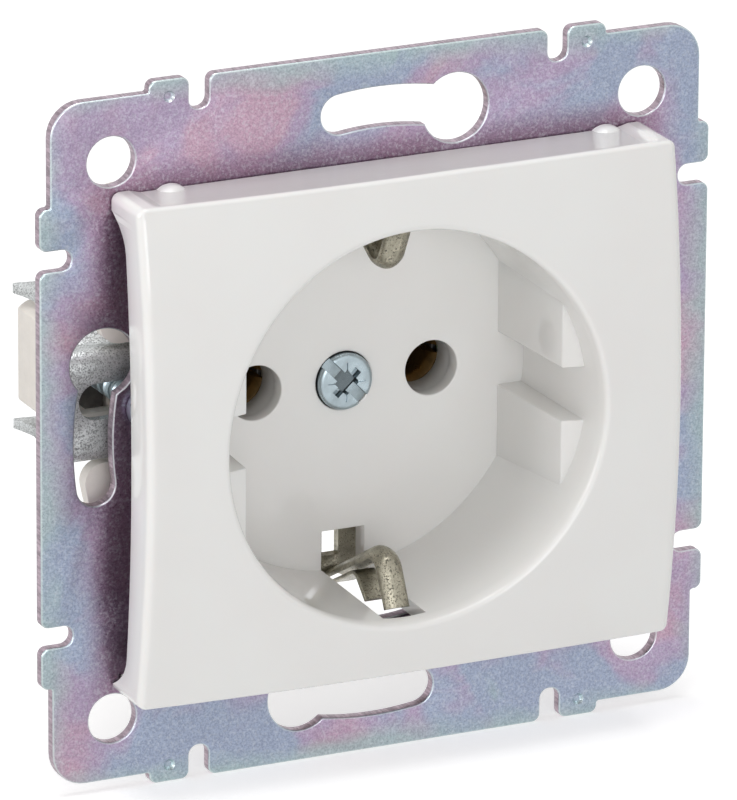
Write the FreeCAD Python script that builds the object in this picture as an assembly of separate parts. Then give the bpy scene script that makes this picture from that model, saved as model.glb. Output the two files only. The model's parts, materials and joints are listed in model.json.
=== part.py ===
"""Flush-mounted type F wall socket on a square steel support plate.

Millimetres. The front faces -Y, +X is to the viewer's right and +Z is up.
The origin is the centre of the plate's rear face, which lies on the wall.
"""
import FreeCAD, Part
import math
import os

Vector = FreeCAD.Vector

# Plug well: its mouth sets the cover, the opening in the plate and the plate itself
well_mouth_radius = 19.95
well_draft = 0.4
well_floor_depth = 7.8
well_floor_thickness = 2.0
well_wall = 1.45
well_rim_round = 1.1
guide_front_inset = 2.45
guide_floor_inset = 3.25
guide_left_reach = 1.25
guide_front_depth = 4.85
guide_front_rise = 0.65
guide_channel_half = 2.72
guide_front_round = 0.25
earth_window_half = 2.3
earth_window_margin = 4.55
earth_window_face_margin = 3.4
earth_window_round = 0.3
pin_half_pitch = 9.5
pin_hole_radius = 2.8
pin_hole_bevel = 0.15
pin_tube_wall = 0.8
pin_tube_length = 2.7
gusset_thickness = 1.0
gusset_depth = 5.5

# Front cover: one glossy moulding with the plug well in its middle
cover_side_margin = 8.45
cover_top_margin = 5.35
cover_corner_radius = 0.6
cover_crown_depth = 9.8
cover_bulge = 3.0
cover_wall = 1.6
cover_face_thickness = 2.0
cover_edge_round = 0.4
cover_seat_gap = 0.2
skirt_opening_margin = 2.05
skirt_opening_rise = 1.35
skirt_opening_end_margin = 3.9
skirt_ear_height = 1.9
top_recess_margin = 4.1
top_recess_slope = 1.2
top_recess_depth = 0.3
top_recess_lip = 1.0
clip_bump_margin = 6.5
clip_bump_radius = 1.1
clip_bump_length = 2.6
clip_bump_height = 0.55

# Support plate: a stamped square with edge tabs, keyholes and corner holes
plate_thickness = 1.2
plate_opening_gap = 0.9
keyhole_margin = 7.9
keyhole_round_radius = 3.5
keyhole_slot_half_width = 2.0
keyhole_round_angle = -15.6
keyhole_end_angle = 8.0
plate_edge_margin = 5.5
plate_corner_inset = 1.15
plate_corner_radius = 3.4
tab_far_margin = 11.4
tab_near_margin = 15.6
edge_notch_margin = 17.7
edge_notch_depth = 3.3
edge_corner_radius = 0.8
notch_radius = 1.0
step_radius = 0.25
plate_edge_round = 0.22
corner_hole_margin = 7.45
corner_hole_radius = 2.5
dimple_margin = 13.5
dimple_inset = 1.7
dimple_radius = 0.5
dimple_depth = 0.35

# Screw in the middle of the well
cover_screw_head_radius = 2.9
cover_screw_head_height = 1.6
cover_screw_head_round = 0.45
cover_screw_seat_gap = 0.1
cover_screw_sink = 0.8
cover_screw_shank_radius = 1.72
cover_screw_length = 8.0
cover_screw_slot_turn = 46.6
cover_screw_tip_room = 1.5
screw_slot_width = 1.15
screw_slot_depth = 0.9
screw_cross_width = 0.85
screw_cross_reach = 1.7
screw_heart_width = 1.9

# Base: the insulating housing behind the plate
base_rear = 28.0
base_side_wall = 2.2
base_half_height = 16.2
base_corner_radius = 4.0
base_waist_drop = 0.2
base_taper_height = 6.5
base_taper_inset = 4.8
base_rear_wall = 1.8
base_top_wall = 1.0
base_tube_wall = 2.2
base_tube_front = 0.2
collar_lip = 0.1
base_overlap = 1.0
ear_margin = 7.7
ear_step = 1.0
ear_front = 2.3
ear_thickness = 1.5
ear_overlap = 2.0
ear_corner_radius = 2.0
wing_inset = 0.1
wing_top_round = 1.0
wing_heel_width = 2.0
wing_heel_height = 1.65
wing_window_half = 2.6
wing_window_wall = 0.8
wing_half_height = 6.0
wing_front = 6.0
wing_beyond_nut = 3.8
wing_chamfer = 1.0
wing_lead_in = 1.8
wing_lead_in_depth = 3.4
wing_rear_slope = 2.0
wing_rear_step = 1.3
retainer_thickness = 1.0
retainer_side_overlap = 0.7
retainer_margin = 3.2
retainer_drop = 0.9
retainer_corner_radius = 1.8
retainer_gap = 0.15

# Rivets through the plate and the ears of the base
rivet_margin = 1.7
rivet_inset = 3.9
rivet_radius = 1.3
rivet_head_radius = 2.2
rivet_head_height = 0.7
rivet_boss_radius = 2.5

# Earth strap: one strip with a sprung contact at each end of the well
strap_thickness = 1.0
strap_half_width = 4.0
strap_end_round = 2.0
strap_slot_half_width = 0.9
strap_slot_margin = 5.75
strap_end_margin = 1.55
strap_neck = 0.7
strap_shoulder_inset = 1.0
strap_shoulder_length = 2.2
contact_half_width = 1.35
contact_thickness = 0.9
contact_bend_rise = 0.8
contact_bend_reach = 2.1
contact_knee_depth = 2.05
contact_knee_reach = 5.23
contact_tip_depth = 4.58
contact_tip_reach = 0.35
contact_knee_radius = 1.35
contact_bend_radius = 1.3
leaf_thickness = 0.5
leaf_inset = 0.1
leaf_start_depth = 3.2
leaf_start_reach = 0.67
leaf_bend_depth = 2.6
leaf_bend_reach = 2.01
leaf_tip_depth = 0.1
leaf_tip_reach = 0.25
leaf_bend_radius = 1.2
bush_radius = 2.9
bush_length = 3.4

# Live contacts and screw terminals
sleeve_step = 2.05
sleeve_behind = 3.8
sleeve_bore_radius = 2.4
sleeve_wall = 0.8
sleeve_lip = 0.15
sleeve_mouth_depth = 1.0
sleeve_slit = 0.8
sleeve_slit_length = 8.0
back_plate_thickness = 0.9
clip_step = 1.6
clip_length = 4.0
clip_thickness = 0.5
clip_opening = 1.6
terminal_side_step = 3.5
terminal_length = 9.2
terminal_height = 7.2
terminal_roof_gap = 2.0
terminal_half_width = 3.5
terminal_wall = 1.0
terminal_screw_radius = 1.7
terminal_head_radius = 2.7
terminal_head_height = 1.9
terminal_head_round = 0.35
terminal_head_gap = 0.5
clamp_plate_thickness = 0.9
clamp_plate_clearance = 0.3
clamp_plate_inset = 1.2
clamp_rib_radius = 0.3
clamp_rib_pitch = 1.35
wire_hole_radius = 1.9

# Claws: bent steel stampings that a screw spreads against the wall box
claw_offset = 3.2
claw_steel = 1.0
claw_web_front = 1.3
claw_web_below = 6.1
claw_web_above = 5.2
claw_slot_rise = 0.25
claw_arm_half_height = 7.45
claw_bend_radius = 1.7
claw_joggle_radius = 1.5
claw_joggle_step = 0.7
claw_screw_margin = 2.4
claw_web_reach = 7.3
claw_web_behind = 2.0
claw_web_flange = 1.8
claw_slot_half_width = 1.85
claw_slot_reach = 5.9
claw_pivot_inset = 0.5
claw_pivot_depth = 2.2
claw_arm_beyond_nut = 4.4
claw_tooth_reach = 5.6
claw_tooth_width = 0.5
claw_tooth_slope = 1.5
claw_tooth_neck = 2.2
claw_tooth_neck_depth = 3.2
claw_waist = 1.6
claw_waist_depth = 8.0
claw_shoulder_depth = 4.0
claw_shoulder_radius = 2.0
claw_swing = 20.0
claw_screw_radius = 1.5
claw_screw_head_radius = 2.6
claw_screw_head_height = 1.5
claw_screw_head_round = 0.4
claw_screw_tip_chamfer = 0.35
claw_screw_beyond_nut = 3.2
claw_screw_recess_turn = 30.0
claw_screw_recess_share = 0.8
claw_nut_half_width = 2.2
claw_nut_half_length = 8.2
claw_nut_thickness = 2.4
claw_nut_front = 13.8
claw_nut_round = 0.4
claw_nut_travel = 6.0
claw_nut_channel_room = 3.0
claw_cam_gap = 0.3
claw_notch_room = 0.55
claw_pocket_depth = 1.8
claw_pocket_inset = 1.15

# Clearances
fit_clearance = 0.05
loose_clearance = 0.3
slide_clearance = 0.35

# Places worked out from the sizes above: along the socket's axis
plate_front = -plate_thickness
crown_y = plate_front - cover_crown_depth
cover_edge_y = crown_y + cover_bulge
cover_rear = plate_front - cover_seat_gap
skirt_middle_y = cover_edge_y + skirt_opening_margin
skirt_end_y = skirt_middle_y + skirt_opening_rise
well_floor_y = plate_front + well_floor_depth
well_back_y = well_floor_y + well_floor_thickness
pin_tube_rear = well_back_y + pin_tube_length
base_seat = well_back_y
base_pocket_floor = base_rear - base_rear_wall
retainer_rear = base_seat + retainer_thickness
strap_front = retainer_rear
strap_rear = strap_front + strap_thickness
sleeve_front = retainer_rear + sleeve_step
sleeve_rear = base_pocket_floor - sleeve_behind
clip_front = sleeve_front + clip_step
terminal_rear = base_pocket_floor
terminal_front = terminal_rear - terminal_length
clamp_y = (terminal_front + terminal_rear) / 2
ear_rear = ear_front + ear_thickness
nut_channel_front = claw_nut_front - claw_nut_travel - loose_clearance
nut_channel_rear = claw_nut_front + claw_nut_thickness + loose_clearance
wing_rear = claw_nut_front + wing_beyond_nut
claw_arm_rear = claw_nut_front + claw_arm_beyond_nut
claw_screw_tip = claw_nut_front + claw_screw_beyond_nut

# Places worked out from the sizes above: across the socket
well_floor_radius = well_mouth_radius - well_draft
well_outer_front = well_mouth_radius + well_wall
well_outer_rear = well_floor_radius + well_wall
guide_front_half = well_mouth_radius - guide_front_inset
guide_floor_half = well_mouth_radius - guide_floor_inset
earth_window_inner = well_mouth_radius - earth_window_margin
cover_half_width = well_mouth_radius + cover_side_margin
cover_half_height = well_mouth_radius + cover_top_margin
skirt_opening_half = cover_half_height - skirt_opening_end_margin
skirt_ear_inner = cover_half_height - skirt_ear_height
top_recess_half = cover_half_width - top_recess_margin
clip_bump_offset = cover_half_width - clip_bump_margin
face_radius = (cover_half_height ** 2 + cover_bulge ** 2) / (2 * cover_bulge)
face_axis_y = crown_y + face_radius
plate_opening_radius = well_outer_front + plate_opening_gap
keyhole_pitch_radius = plate_opening_radius + keyhole_margin
plate_half = keyhole_pitch_radius + plate_edge_margin
tab_far_end = plate_half - tab_far_margin
tab_near_end = plate_half - tab_near_margin
edge_notch_near = plate_half - edge_notch_margin
corner_hole_half_pitch = plate_half - corner_hole_margin
dimple_along = plate_half - dimple_margin
tube_inner = plate_opening_radius - collar_lip
tube_outer = tube_inner + base_tube_wall
ear_reach = plate_opening_radius + ear_margin
ear_half_height = base_half_height - ear_step
wing_reach = ear_reach - wing_inset
retainer_top = base_half_height - retainer_margin
rivet_along = plate_opening_radius + rivet_margin
rivet_up = base_half_height - rivet_inset
strap_slot_near = well_mouth_radius - strap_slot_margin
strap_slot_far = well_mouth_radius - strap_end_margin
contact_bend = (strap_front + contact_bend_rise, well_mouth_radius + contact_bend_reach)
contact_knee = (plate_front - contact_knee_depth, well_mouth_radius - contact_knee_reach)
contact_tip = (plate_front - contact_tip_depth, well_mouth_radius - contact_tip_reach)
leaf_start = (strap_front - leaf_start_depth, well_mouth_radius + leaf_start_reach)
leaf_bend = (plate_front + leaf_bend_depth, well_mouth_radius - leaf_bend_reach)
leaf_tip = (plate_front + leaf_tip_depth, well_mouth_radius + leaf_tip_reach)
pin_tube_radius = pin_hole_radius + pin_tube_wall
sleeve_outer = sleeve_bore_radius + sleeve_wall
terminal_pitch = pin_half_pitch + terminal_side_step
terminal_top = base_half_height - terminal_roof_gap
pocket_half_width = terminal_pitch + terminal_half_width + loose_clearance
base_half_width = pocket_half_width + base_side_wall
sleeve_pocket_half = sleeve_outer + clip_thickness + loose_clearance
base_waist = -sleeve_pocket_half - base_waist_drop
terminal_bottom = terminal_top - terminal_height
clamp_plate_top = terminal_top - terminal_wall - clamp_plate_clearance
clamp_plate_under = clamp_plate_top - clamp_plate_thickness
wire_height = (terminal_bottom + terminal_wall + clamp_plate_under) / 2
claw_screw_x = plate_opening_radius + claw_screw_margin
claw_web_outer = claw_screw_x + claw_web_reach
claw_web_inner = claw_screw_x - claw_web_behind
claw_slot_end = claw_screw_x + claw_slot_reach
claw_pivot = (claw_web_outer - claw_pivot_inset, claw_pivot_depth)
claw_tooth_tip = claw_screw_x + claw_tooth_reach
far = 2 * plate_half


def xz(y):
    """Map plane coordinates to a plane across Y."""
    return lambda u, v: Vector(u, y, v)


def yz(x):
    """Map plane coordinates to a plane across X."""
    return lambda u, v: Vector(x, u, v)


def xy(z):
    """Map plane coordinates to a plane across Z."""
    return lambda u, v: Vector(u, v, z)


def rounded_wire(corners, place):
    """Closed wire through (u, v, radius) corners, each rounded by its radius."""
    edges = []
    ends = []
    count = len(corners)
    for i, (u, v, radius) in enumerate(corners):
        before = corners[i - 1]
        after = corners[(i + 1) % count]
        to_before = unit(before[0] - u, before[1] - v)
        to_after = unit(after[0] - u, after[1] - v)
        cosine = to_before[0] * to_after[0] + to_before[1] * to_after[1]
        half = math.acos(max(-1.0, min(1.0, cosine))) / 2
        if radius < 1e-6 or half > math.radians(89.5):
            ends.append(((u, v), (u, v)))
            continue
        reach = radius / math.tan(half)
        start = (u + to_before[0] * reach, v + to_before[1] * reach)
        stop = (u + to_after[0] * reach, v + to_after[1] * reach)
        inward = unit(to_before[0] + to_after[0], to_before[1] + to_after[1])
        depth = radius / math.sin(half) - radius
        middle = (u + inward[0] * depth, v + inward[1] * depth)
        edges.append(Part.Arc(place(*start), place(*middle), place(*stop)).toShape())
        ends.append((start, stop))
    for i in range(count):
        leave = ends[i][1]
        arrive = ends[(i + 1) % count][0]
        if math.hypot(leave[0] - arrive[0], leave[1] - arrive[1]) > 1e-5:
            edges.append(Part.LineSegment(place(*leave), place(*arrive)).toShape())
    return Part.Wire(Part.__sortEdges__(edges))


def unit(u, v):
    """Unit vector along (u, v)."""
    length = math.hypot(u, v)
    return (u / length, v / length)


def prism(corners, place, travel):
    """Solid swept from rounded corners along a vector."""
    return Part.Face(rounded_wire(corners, place)).extrude(travel)


def box(x0, x1, y0, y1, z0, z1):
    """Block between two corners."""
    return Part.makeBox(x1 - x0, y1 - y0, z1 - z0, Vector(x0, y0, z0))


def rod(radius, y0, y1, x=0.0, z=0.0):
    """Cylinder along Y."""
    return Part.makeCylinder(radius, y1 - y0, Vector(x, y0, z), Vector(0, 1, 0))


def cone(r0, r1, y0, y1, x=0.0, z=0.0):
    """Cone along Y with radius r0 at y0 and r1 at y1."""
    return Part.makeCone(r0, r1, y1 - y0, Vector(x, y0, z), Vector(0, 1, 0))


def upright(radius, z0, z1, x, y):
    """Cylinder along Z."""
    return Part.makeCylinder(radius, z1 - z0, Vector(x, y, z0), Vector(0, 0, 1))


def rounded_block(half_width, half_height, radius, y0, y1):
    """Block along Y with rounded long edges."""
    corners = [(-half_width, -half_height, radius), (half_width, -half_height, radius),
               (half_width, half_height, radius), (-half_width, half_height, radius)]
    return prism(corners, xz(y0), Vector(0, y1 - y0, 0))


def turned(shape, angle):
    """Copy turned about the socket's Y axis."""
    copy = shape.copy()
    copy.rotate(Vector(0, 0, 0), Vector(0, 1, 0), angle)
    return copy


def mirrored(shape, across):
    """Copy mirrored in a plane through the origin."""
    return shape.mirror(Vector(0, 0, 0), across)


def strip(points, radii, thickness, place, travel):
    """Bent strip of constant thickness along a centre line."""
    half = thickness / 2
    sides = []
    for sign in (1, -1):
        side = []
        for i, (u, v) in enumerate(points):
            normals = []
            if i > 0:
                d = unit(u - points[i - 1][0], v - points[i - 1][1])
                normals.append((-d[1], d[0]))
            if i < len(points) - 1:
                d = unit(points[i + 1][0] - u, points[i + 1][1] - v)
                normals.append((-d[1], d[0]))
            n = unit(sum(k[0] for k in normals), sum(k[1] for k in normals))
            stretch = half / (n[0] * normals[0][0] + n[1] * normals[0][1])
            radius = 0.0
            if len(normals) == 2:
                turn = normals[0][0] * normals[1][1] - normals[0][1] * normals[1][0]
                inner = (turn > 0) == (sign > 0)
                radius = radii[i - 1] - half if inner else radii[i - 1] + half
            side.append((u + sign * n[0] * stretch, v + sign * n[1] * stretch, radius))
        sides.append(side)
    return prism(sides[0] + sides[1][::-1], place, travel)


def one_solid(shape):
    """The single solid of a boolean result."""
    shape = shape.removeSplitter()
    solids = shape.Solids
    if len(solids) != 1:
        raise ValueError("expected one solid, got %d" % len(solids))
    return solids[0]


def support_plate():
    """Stamped steel square that carries the base and the cover."""
    half_side = [(tab_far_end, plate_half - plate_corner_inset, step_radius),
                 (tab_far_end, plate_half, edge_corner_radius),
                 (tab_near_end, plate_half, edge_corner_radius),
                 (tab_near_end, plate_half - edge_notch_depth, notch_radius),
                 (edge_notch_near, plate_half - edge_notch_depth, notch_radius),
                 (edge_notch_near, plate_half, edge_corner_radius)]
    corner = plate_half - plate_corner_inset
    side = [(-corner, corner, plate_corner_radius)]
    side += [(-u, v, r) for u, v, r in half_side]
    side += list(reversed(half_side))
    outline = []
    for quarter in range(4):
        c, s = ((1, 0), (0, -1), (-1, 0), (0, 1))[quarter]
        outline += [(c * u - s * v, s * u + c * v, r) for u, v, r in side]
    plate = prism(outline, xz(plate_front), Vector(0, plate_thickness, 0))
    rim = [e for e in plate.Edges if e.BoundBox.YMax < plate_front + 1e-6]
    plate = plate.makeFillet(plate_edge_round, rim)
    for quarter in range(4):
        plate = plate.cut(turned(keyhole(), 90 * quarter))
        hole = rod(corner_hole_radius, -far, far, corner_hole_half_pitch, corner_hole_half_pitch)
        plate = plate.cut(turned(hole, 90 * quarter))
    for side_x in (-1, 1):
        for side_z in (-1, 1):
            dimple = rod(dimple_radius, plate_front - 1, plate_front + dimple_depth,
                         side_x * dimple_along, side_z * (plate_half - dimple_inset))
            plate = plate.cut(dimple)
            rivet_hole = rod(rivet_radius + fit_clearance, -far, far,
                             side_x * rivet_along, side_z * rivet_up)
            plate = plate.cut(rivet_hole)
        screw_hole = rod(claw_screw_radius + loose_clearance, -far, far,
                         side_x * claw_screw_x, -side_x * claw_offset)
        plate = plate.cut(screw_hole)
    return one_solid(plate.cut(rod(plate_opening_radius, -far, far)))


def keyhole():
    """Cutter of the keyhole above the centre: a round entry and an arc slot."""
    middle = 90.0
    start = middle + keyhole_round_angle
    end = middle + keyhole_end_angle
    outer = keyhole_pitch_radius + keyhole_slot_half_width
    inner = keyhole_pitch_radius - keyhole_slot_half_width
    corners = [polar(outer, start), polar(outer, end), polar(inner, end), polar(inner, start)]
    arcs = [Part.Arc(corners[0], polar(outer, (start + end) / 2), corners[1]).toShape(),
            Part.LineSegment(corners[1], corners[2]).toShape(),
            Part.Arc(corners[2], polar(inner, (start + end) / 2), corners[3]).toShape(),
            Part.LineSegment(corners[3], corners[0]).toShape()]
    slot = Part.Face(Part.Wire(arcs)).extrude(Vector(0, 2 * far, 0))
    entry = polar(keyhole_pitch_radius, start)
    finish = polar(keyhole_pitch_radius, end)
    slot = slot.fuse(rod(keyhole_round_radius, -far, far, entry.x, entry.z))
    return slot.fuse(rod(keyhole_slot_half_width, -far, far, finish.x, finish.z))


def polar(radius, angle):
    """Point at an angle about the socket's axis, well in front of the plate."""
    a = math.radians(angle)
    return Vector(radius * math.cos(a), -far, radius * math.sin(a))


def front_cover():
    """Moulded cover: bulged face, open skirt, plug well with guides and windows."""
    body = rounded_block(cover_half_width, cover_half_height, cover_corner_radius,
                         crown_y - 2, cover_rear)
    face = Part.makeCylinder(face_radius, 2 * far, Vector(-far, face_axis_y, 0), Vector(1, 0, 0))
    body = body.common(face)
    front_edges = [e for e in body.Edges if e.BoundBox.YMax < cover_edge_y + cover_edge_round / 2]
    body = body.makeFillet(cover_edge_round, front_edges)
    body = body.cut(cover_cavity()).cut(skirt_openings()).cut(edge_recesses())
    body = body.fuse(well_shell()).fuse(gussets()).fuse(clip_bumps())
    body = body.cut(well_bore())
    rim = [e for e in body.Edges if is_mouth_edge(e)]
    body = body.makeFillet(well_rim_round, rim)
    body = body.fuse(guide_pads()).cut(well_windows())
    return one_solid(body)


def is_mouth_edge(edge):
    """True for the edge where the bore meets the bulged face."""
    middle = edge.valueAt((edge.FirstParameter + edge.LastParameter) / 2)
    reach = math.hypot(middle.x, middle.z)
    in_front = edge.BoundBox.YMax < cover_edge_y - cover_bulge / 12
    return abs(reach - well_mouth_radius) < well_draft / 4 and in_front


def cover_cavity():
    """Hollow behind the cover's face."""
    inner_face = Part.makeCylinder(face_radius - cover_face_thickness, 2 * far,
                                   Vector(-far, face_axis_y, 0), Vector(1, 0, 0))
    hollow = rounded_block(cover_half_width - cover_wall, cover_half_height - cover_wall,
                           cover_corner_radius / 2, crown_y - 2, cover_rear + 1)
    return hollow.common(inner_face)


def skirt_openings():
    """Cutter of the arched openings in the left and right walls."""
    middle = skirt_middle_y
    end = skirt_end_y
    ear = skirt_ear_inner
    turn = (end + plate_front) / 2
    points = [(cover_rear + 1, -ear), (turn, -ear), (end, -skirt_opening_half),
              (end, skirt_opening_half), (turn, ear), (cover_rear + 1, ear)]
    place = yz(-far)
    at = [place(u, v) for u, v in points]
    bend = (ear - skirt_opening_half) * 0.3
    bend_y = (end + turn) / 2 - bend * 0.6
    low_bend = place(bend_y, -(ear + skirt_opening_half) / 2 - bend)
    high_bend = place(bend_y, (ear + skirt_opening_half) / 2 + bend)
    edges = [Part.LineSegment(at[0], at[1]).toShape(),
             Part.Arc(at[1], low_bend, at[2]).toShape(),
             Part.Arc(at[2], place(middle, 0), at[3]).toShape(),
             Part.Arc(at[3], high_bend, at[4]).toShape(),
             Part.LineSegment(at[4], at[5]).toShape(),
             Part.LineSegment(at[5], at[0]).toShape()]
    cutter = Part.Face(Part.Wire(edges)).extrude(Vector(far - cover_half_width + 2 * cover_wall, 0, 0))
    return cutter.fuse(mirrored(cutter, Vector(1, 0, 0)))


def edge_recesses():
    """Cutter of the shallow flats on the top and bottom walls."""
    high = cover_half_height
    top = prism([(-top_recess_half, high - top_recess_depth, 0.0),
                 (top_recess_half, high - top_recess_depth, 0.0),
                 (top_recess_half + top_recess_slope, high + 1, 0.0),
                 (-top_recess_half - top_recess_slope, high + 1, 0.0)],
                xz(cover_edge_y + top_recess_lip), Vector(0, cover_crown_depth, 0))
    return top.fuse(mirrored(top, Vector(0, 0, 1)))


def clip_bumps():
    """Small ribs on the top and bottom walls that hold a surround."""
    bumps = []
    centre = cover_half_height - top_recess_depth - clip_bump_radius + clip_bump_height
    for side in (-1, 1):
        rib = rod(clip_bump_radius, cover_rear - clip_bump_length, cover_rear,
                  side * clip_bump_offset, centre)
        bumps += [rib, mirrored(rib, Vector(0, 0, 1))]
    return Part.makeCompound(bumps)


def well_shell():
    """Outer wall and floor of the plug well with a short tube behind each pin hole."""
    behind_face = Part.makeCylinder(face_radius - cover_face_thickness / 2, 2 * far,
                                    Vector(-far, face_axis_y, 0), Vector(1, 0, 0))
    shell = cone(well_outer_front, well_outer_rear, crown_y, well_back_y).common(behind_face)
    for side in (-1, 1):
        shell = shell.fuse(rod(pin_tube_radius, well_floor_y + well_floor_thickness / 2,
                               pin_tube_rear, side * pin_half_pitch))
    return shell


def well_bore():
    """Cutter of the drafted round well."""
    slope = (well_mouth_radius - well_floor_radius) / (well_floor_y - crown_y)
    front = crown_y - 1
    return cone(well_mouth_radius + slope, well_floor_radius, front, well_floor_y)


def guide_pads():
    """Four pads that leave a guide channel at each side of the well."""
    front = plate_front - guide_front_depth
    lip = front - guide_front_rise
    root = well_floor_y + well_floor_thickness / 4
    outer = well_mouth_radius + well_wall / 2
    inset = well_wall / 3
    limit = cone(well_outer_front - inset, well_outer_rear - inset, crown_y, well_back_y)
    pads = []
    for side, reach in ((1, 0.0), (-1, guide_left_reach)):
        outline = [(side * (guide_front_half - reach), front, guide_front_round),
                   (side * (guide_floor_half - reach), root, 0.0),
                   (side * outer, root, 0.0), (side * outer, lip, 0.0)]
        for low in (guide_channel_half, -well_mouth_radius):
            pad = prism(outline, xy(low), Vector(0, 0, well_mouth_radius - guide_channel_half))
            pads.append(pad.common(limit))
    return Part.makeCompound(pads)


def well_windows():
    """Cutter of the earth windows, the pin holes and the screw seat."""
    window_front = crown_y + earth_window_face_margin
    outer = well_outer_front + well_wall / 2
    window = prism([(-earth_window_half, earth_window_inner, earth_window_round),
                    (earth_window_half, earth_window_inner, earth_window_round),
                    (earth_window_half, outer, 0.0), (-earth_window_half, outer, 0.0)],
                   xz(window_front), Vector(0, well_back_y - window_front + 1, 0))
    cutters = [window, mirrored(window, Vector(0, 0, 1))]
    for side in (-1, 1):
        cutters.append(rod(pin_hole_radius, well_floor_y - 1, pin_tube_rear + 1,
                           side * pin_half_pitch))
        bevel = pin_hole_bevel
        cutters.append(cone(pin_hole_radius + 2 * bevel, pin_hole_radius - bevel,
                            well_floor_y - bevel, well_floor_y + 2 * bevel, side * pin_half_pitch))
    cutters.append(rod(cover_screw_head_radius + cover_screw_seat_gap, well_floor_y - 1,
                       well_floor_y + cover_screw_sink))
    cutters.append(rod(cover_screw_shank_radius + loose_clearance, well_floor_y, well_back_y + 1))
    return Part.makeCompound(cutters)


def gussets():
    """Ribs that tie the well to the corners of the skirt."""
    ribs = []
    reach_x = cover_half_width - cover_wall / 2
    reach_z = cover_half_height - cover_wall / 2
    inner_face = Part.makeCylinder(face_radius - cover_face_thickness / 2, 2 * far,
                                   Vector(-far, face_axis_y, 0), Vector(1, 0, 0))
    front = crown_y + gusset_thickness / 2
    for spread in (38.0, 52.0):
        a = math.radians(spread)
        length = min(reach_x / math.cos(a), reach_z / math.sin(a))
        start = well_outer_front - well_wall / 2
        rib = box(start, length, front, front + gusset_depth, -gusset_thickness / 2,
                  gusset_thickness / 2)
        for quarter_turn in (spread, 180 - spread, 180 + spread, -spread):
            ribs.append(turned(rib, quarter_turn).common(inner_face))
    return Part.makeCompound(ribs)


def cover_screw():
    """Raised screw with a combined slot and cross recess."""
    top = well_floor_y + cover_screw_sink - cover_screw_head_height
    under = well_floor_y + cover_screw_sink
    head = rod(cover_screw_head_radius, top, under)
    crown = [e for e in head.Edges if e.BoundBox.YMax < top + 1e-6]
    head = head.makeFillet(cover_screw_head_round, crown)
    screw = head.fuse(rod(cover_screw_shank_radius, under, under + cover_screw_length))
    return one_solid(screw.cut(cross_recess(top, cover_screw_slot_turn, 1.0)))


def cross_recess(top, turn, scale):
    """Cutter of a slot crossed by a shorter tapered cross, sunk along +Y."""
    width = screw_slot_width * scale / 2
    depth = screw_slot_depth * scale
    reach = 2.6 * cover_screw_head_radius * scale
    slot = box(-reach, reach, top - 1, top + depth, -width, width)
    arm = screw_cross_reach * scale
    half = screw_cross_width * scale / 2
    cross = box(-half, half, top - 1, top + depth, -arm, arm)
    wide = screw_heart_width * scale / 2
    rear = top + depth * 1.3
    heart = Part.makeCone(wide * 1.5, wide, rear - top + 1, Vector(0, top - 1, 0), Vector(0, 1, 0))
    heart = heart.common(box(-wide, wide, top - 1, rear, -wide, wide))
    return turned(slot.fuse(cross).fuse(heart), turn)


def screw_along_y(x, z, top, head_radius, head_height, radius, tip):
    """Pan screw whose head faces the front."""
    head = rod(head_radius, top, top + head_height, x, z)
    rim = [e for e in head.Edges if e.BoundBox.YMax < top + 1e-6]
    head = head.makeFillet(claw_screw_head_round, rim)
    shank = rod(radius, top + head_height, tip, x, z)
    end = [e for e in shank.Edges if e.BoundBox.YMin > tip - 1e-6]
    shank = shank.makeChamfer(claw_screw_tip_chamfer, end)
    recess = cross_recess(top, claw_screw_recess_turn, claw_screw_recess_share)
    recess.translate(Vector(x, 0, z))
    return one_solid(head.fuse(shank).cut(recess))


def socket_base():
    """Insulating housing: round collar, ears, body with pockets, claw wings."""
    body = prism(base_outline(), xz(base_seat), Vector(0, base_rear - base_seat, 0))
    slab = box(-far, far, base_tube_front, base_seat + base_overlap, -base_half_height,
               base_half_height)
    collar = rod(tube_outer, base_tube_front, base_seat + base_overlap).common(slab)
    ears = rod(ear_reach, ear_front, ear_front + ear_thickness)
    ear_slab = [(-far, -ear_half_height, 0.0), (far, -ear_half_height, 0.0),
                (far, ear_half_height, 0.0), (-far, ear_half_height, 0.0)]
    ears = ears.common(prism(ear_slab, xz(0), Vector(0, far, 0)))
    ear_inner = tube_inner - ear_overlap
    ears = ears.cut(box(-ear_inner, ear_inner, 0, far, -far, far))
    notch = left_web_notch()
    ears = ears.cut(notch).cut(turned(notch, 180))
    corners = [e for e in ears.Edges if is_ear_corner(e)]
    ears = ears.makeFillet(ear_corner_radius, corners)
    base = body.fuse(collar).fuse(ears)
    wing = left_wing()
    base = base.fuse(wing).fuse(turned(wing, 180))
    for side_x in (-1, 1):
        for side_z in (-1, 1):
            base = base.fuse(rod(rivet_boss_radius, 0.0, ear_front + ear_thickness / 3,
                                 side_x * rivet_along, side_z * rivet_up))
    base = base.cut(rod(tube_inner, -1, base_seat))
    cutters = base_pockets() + rivet_holes()
    for left in left_wing_cutters():
        cutters += [left, turned(left, 180)]
    base = base.cut(Part.makeCompound(cutters))
    return one_solid(base)


def is_ear_corner(edge):
    """True for the edges where the web notches meet the rim of the ears."""
    at = edge.BoundBox
    upright_edge = at.YLength > ear_thickness - 1e-6 and at.XLength + at.ZLength < 1e-3
    on_rim = abs(math.hypot(at.XMax, at.ZMax) - ear_reach) < 1e-3
    return upright_edge and on_rim and abs(at.ZMax) < claw_offset + claw_web_below


def left_web_notch():
    """Cutter that clears the web of the left claw."""
    return box(-far, -tube_inner + collar_lip, -1, ear_rear,
               claw_offset - claw_web_below - loose_clearance,
               claw_offset + claw_web_above + loose_clearance)


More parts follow.
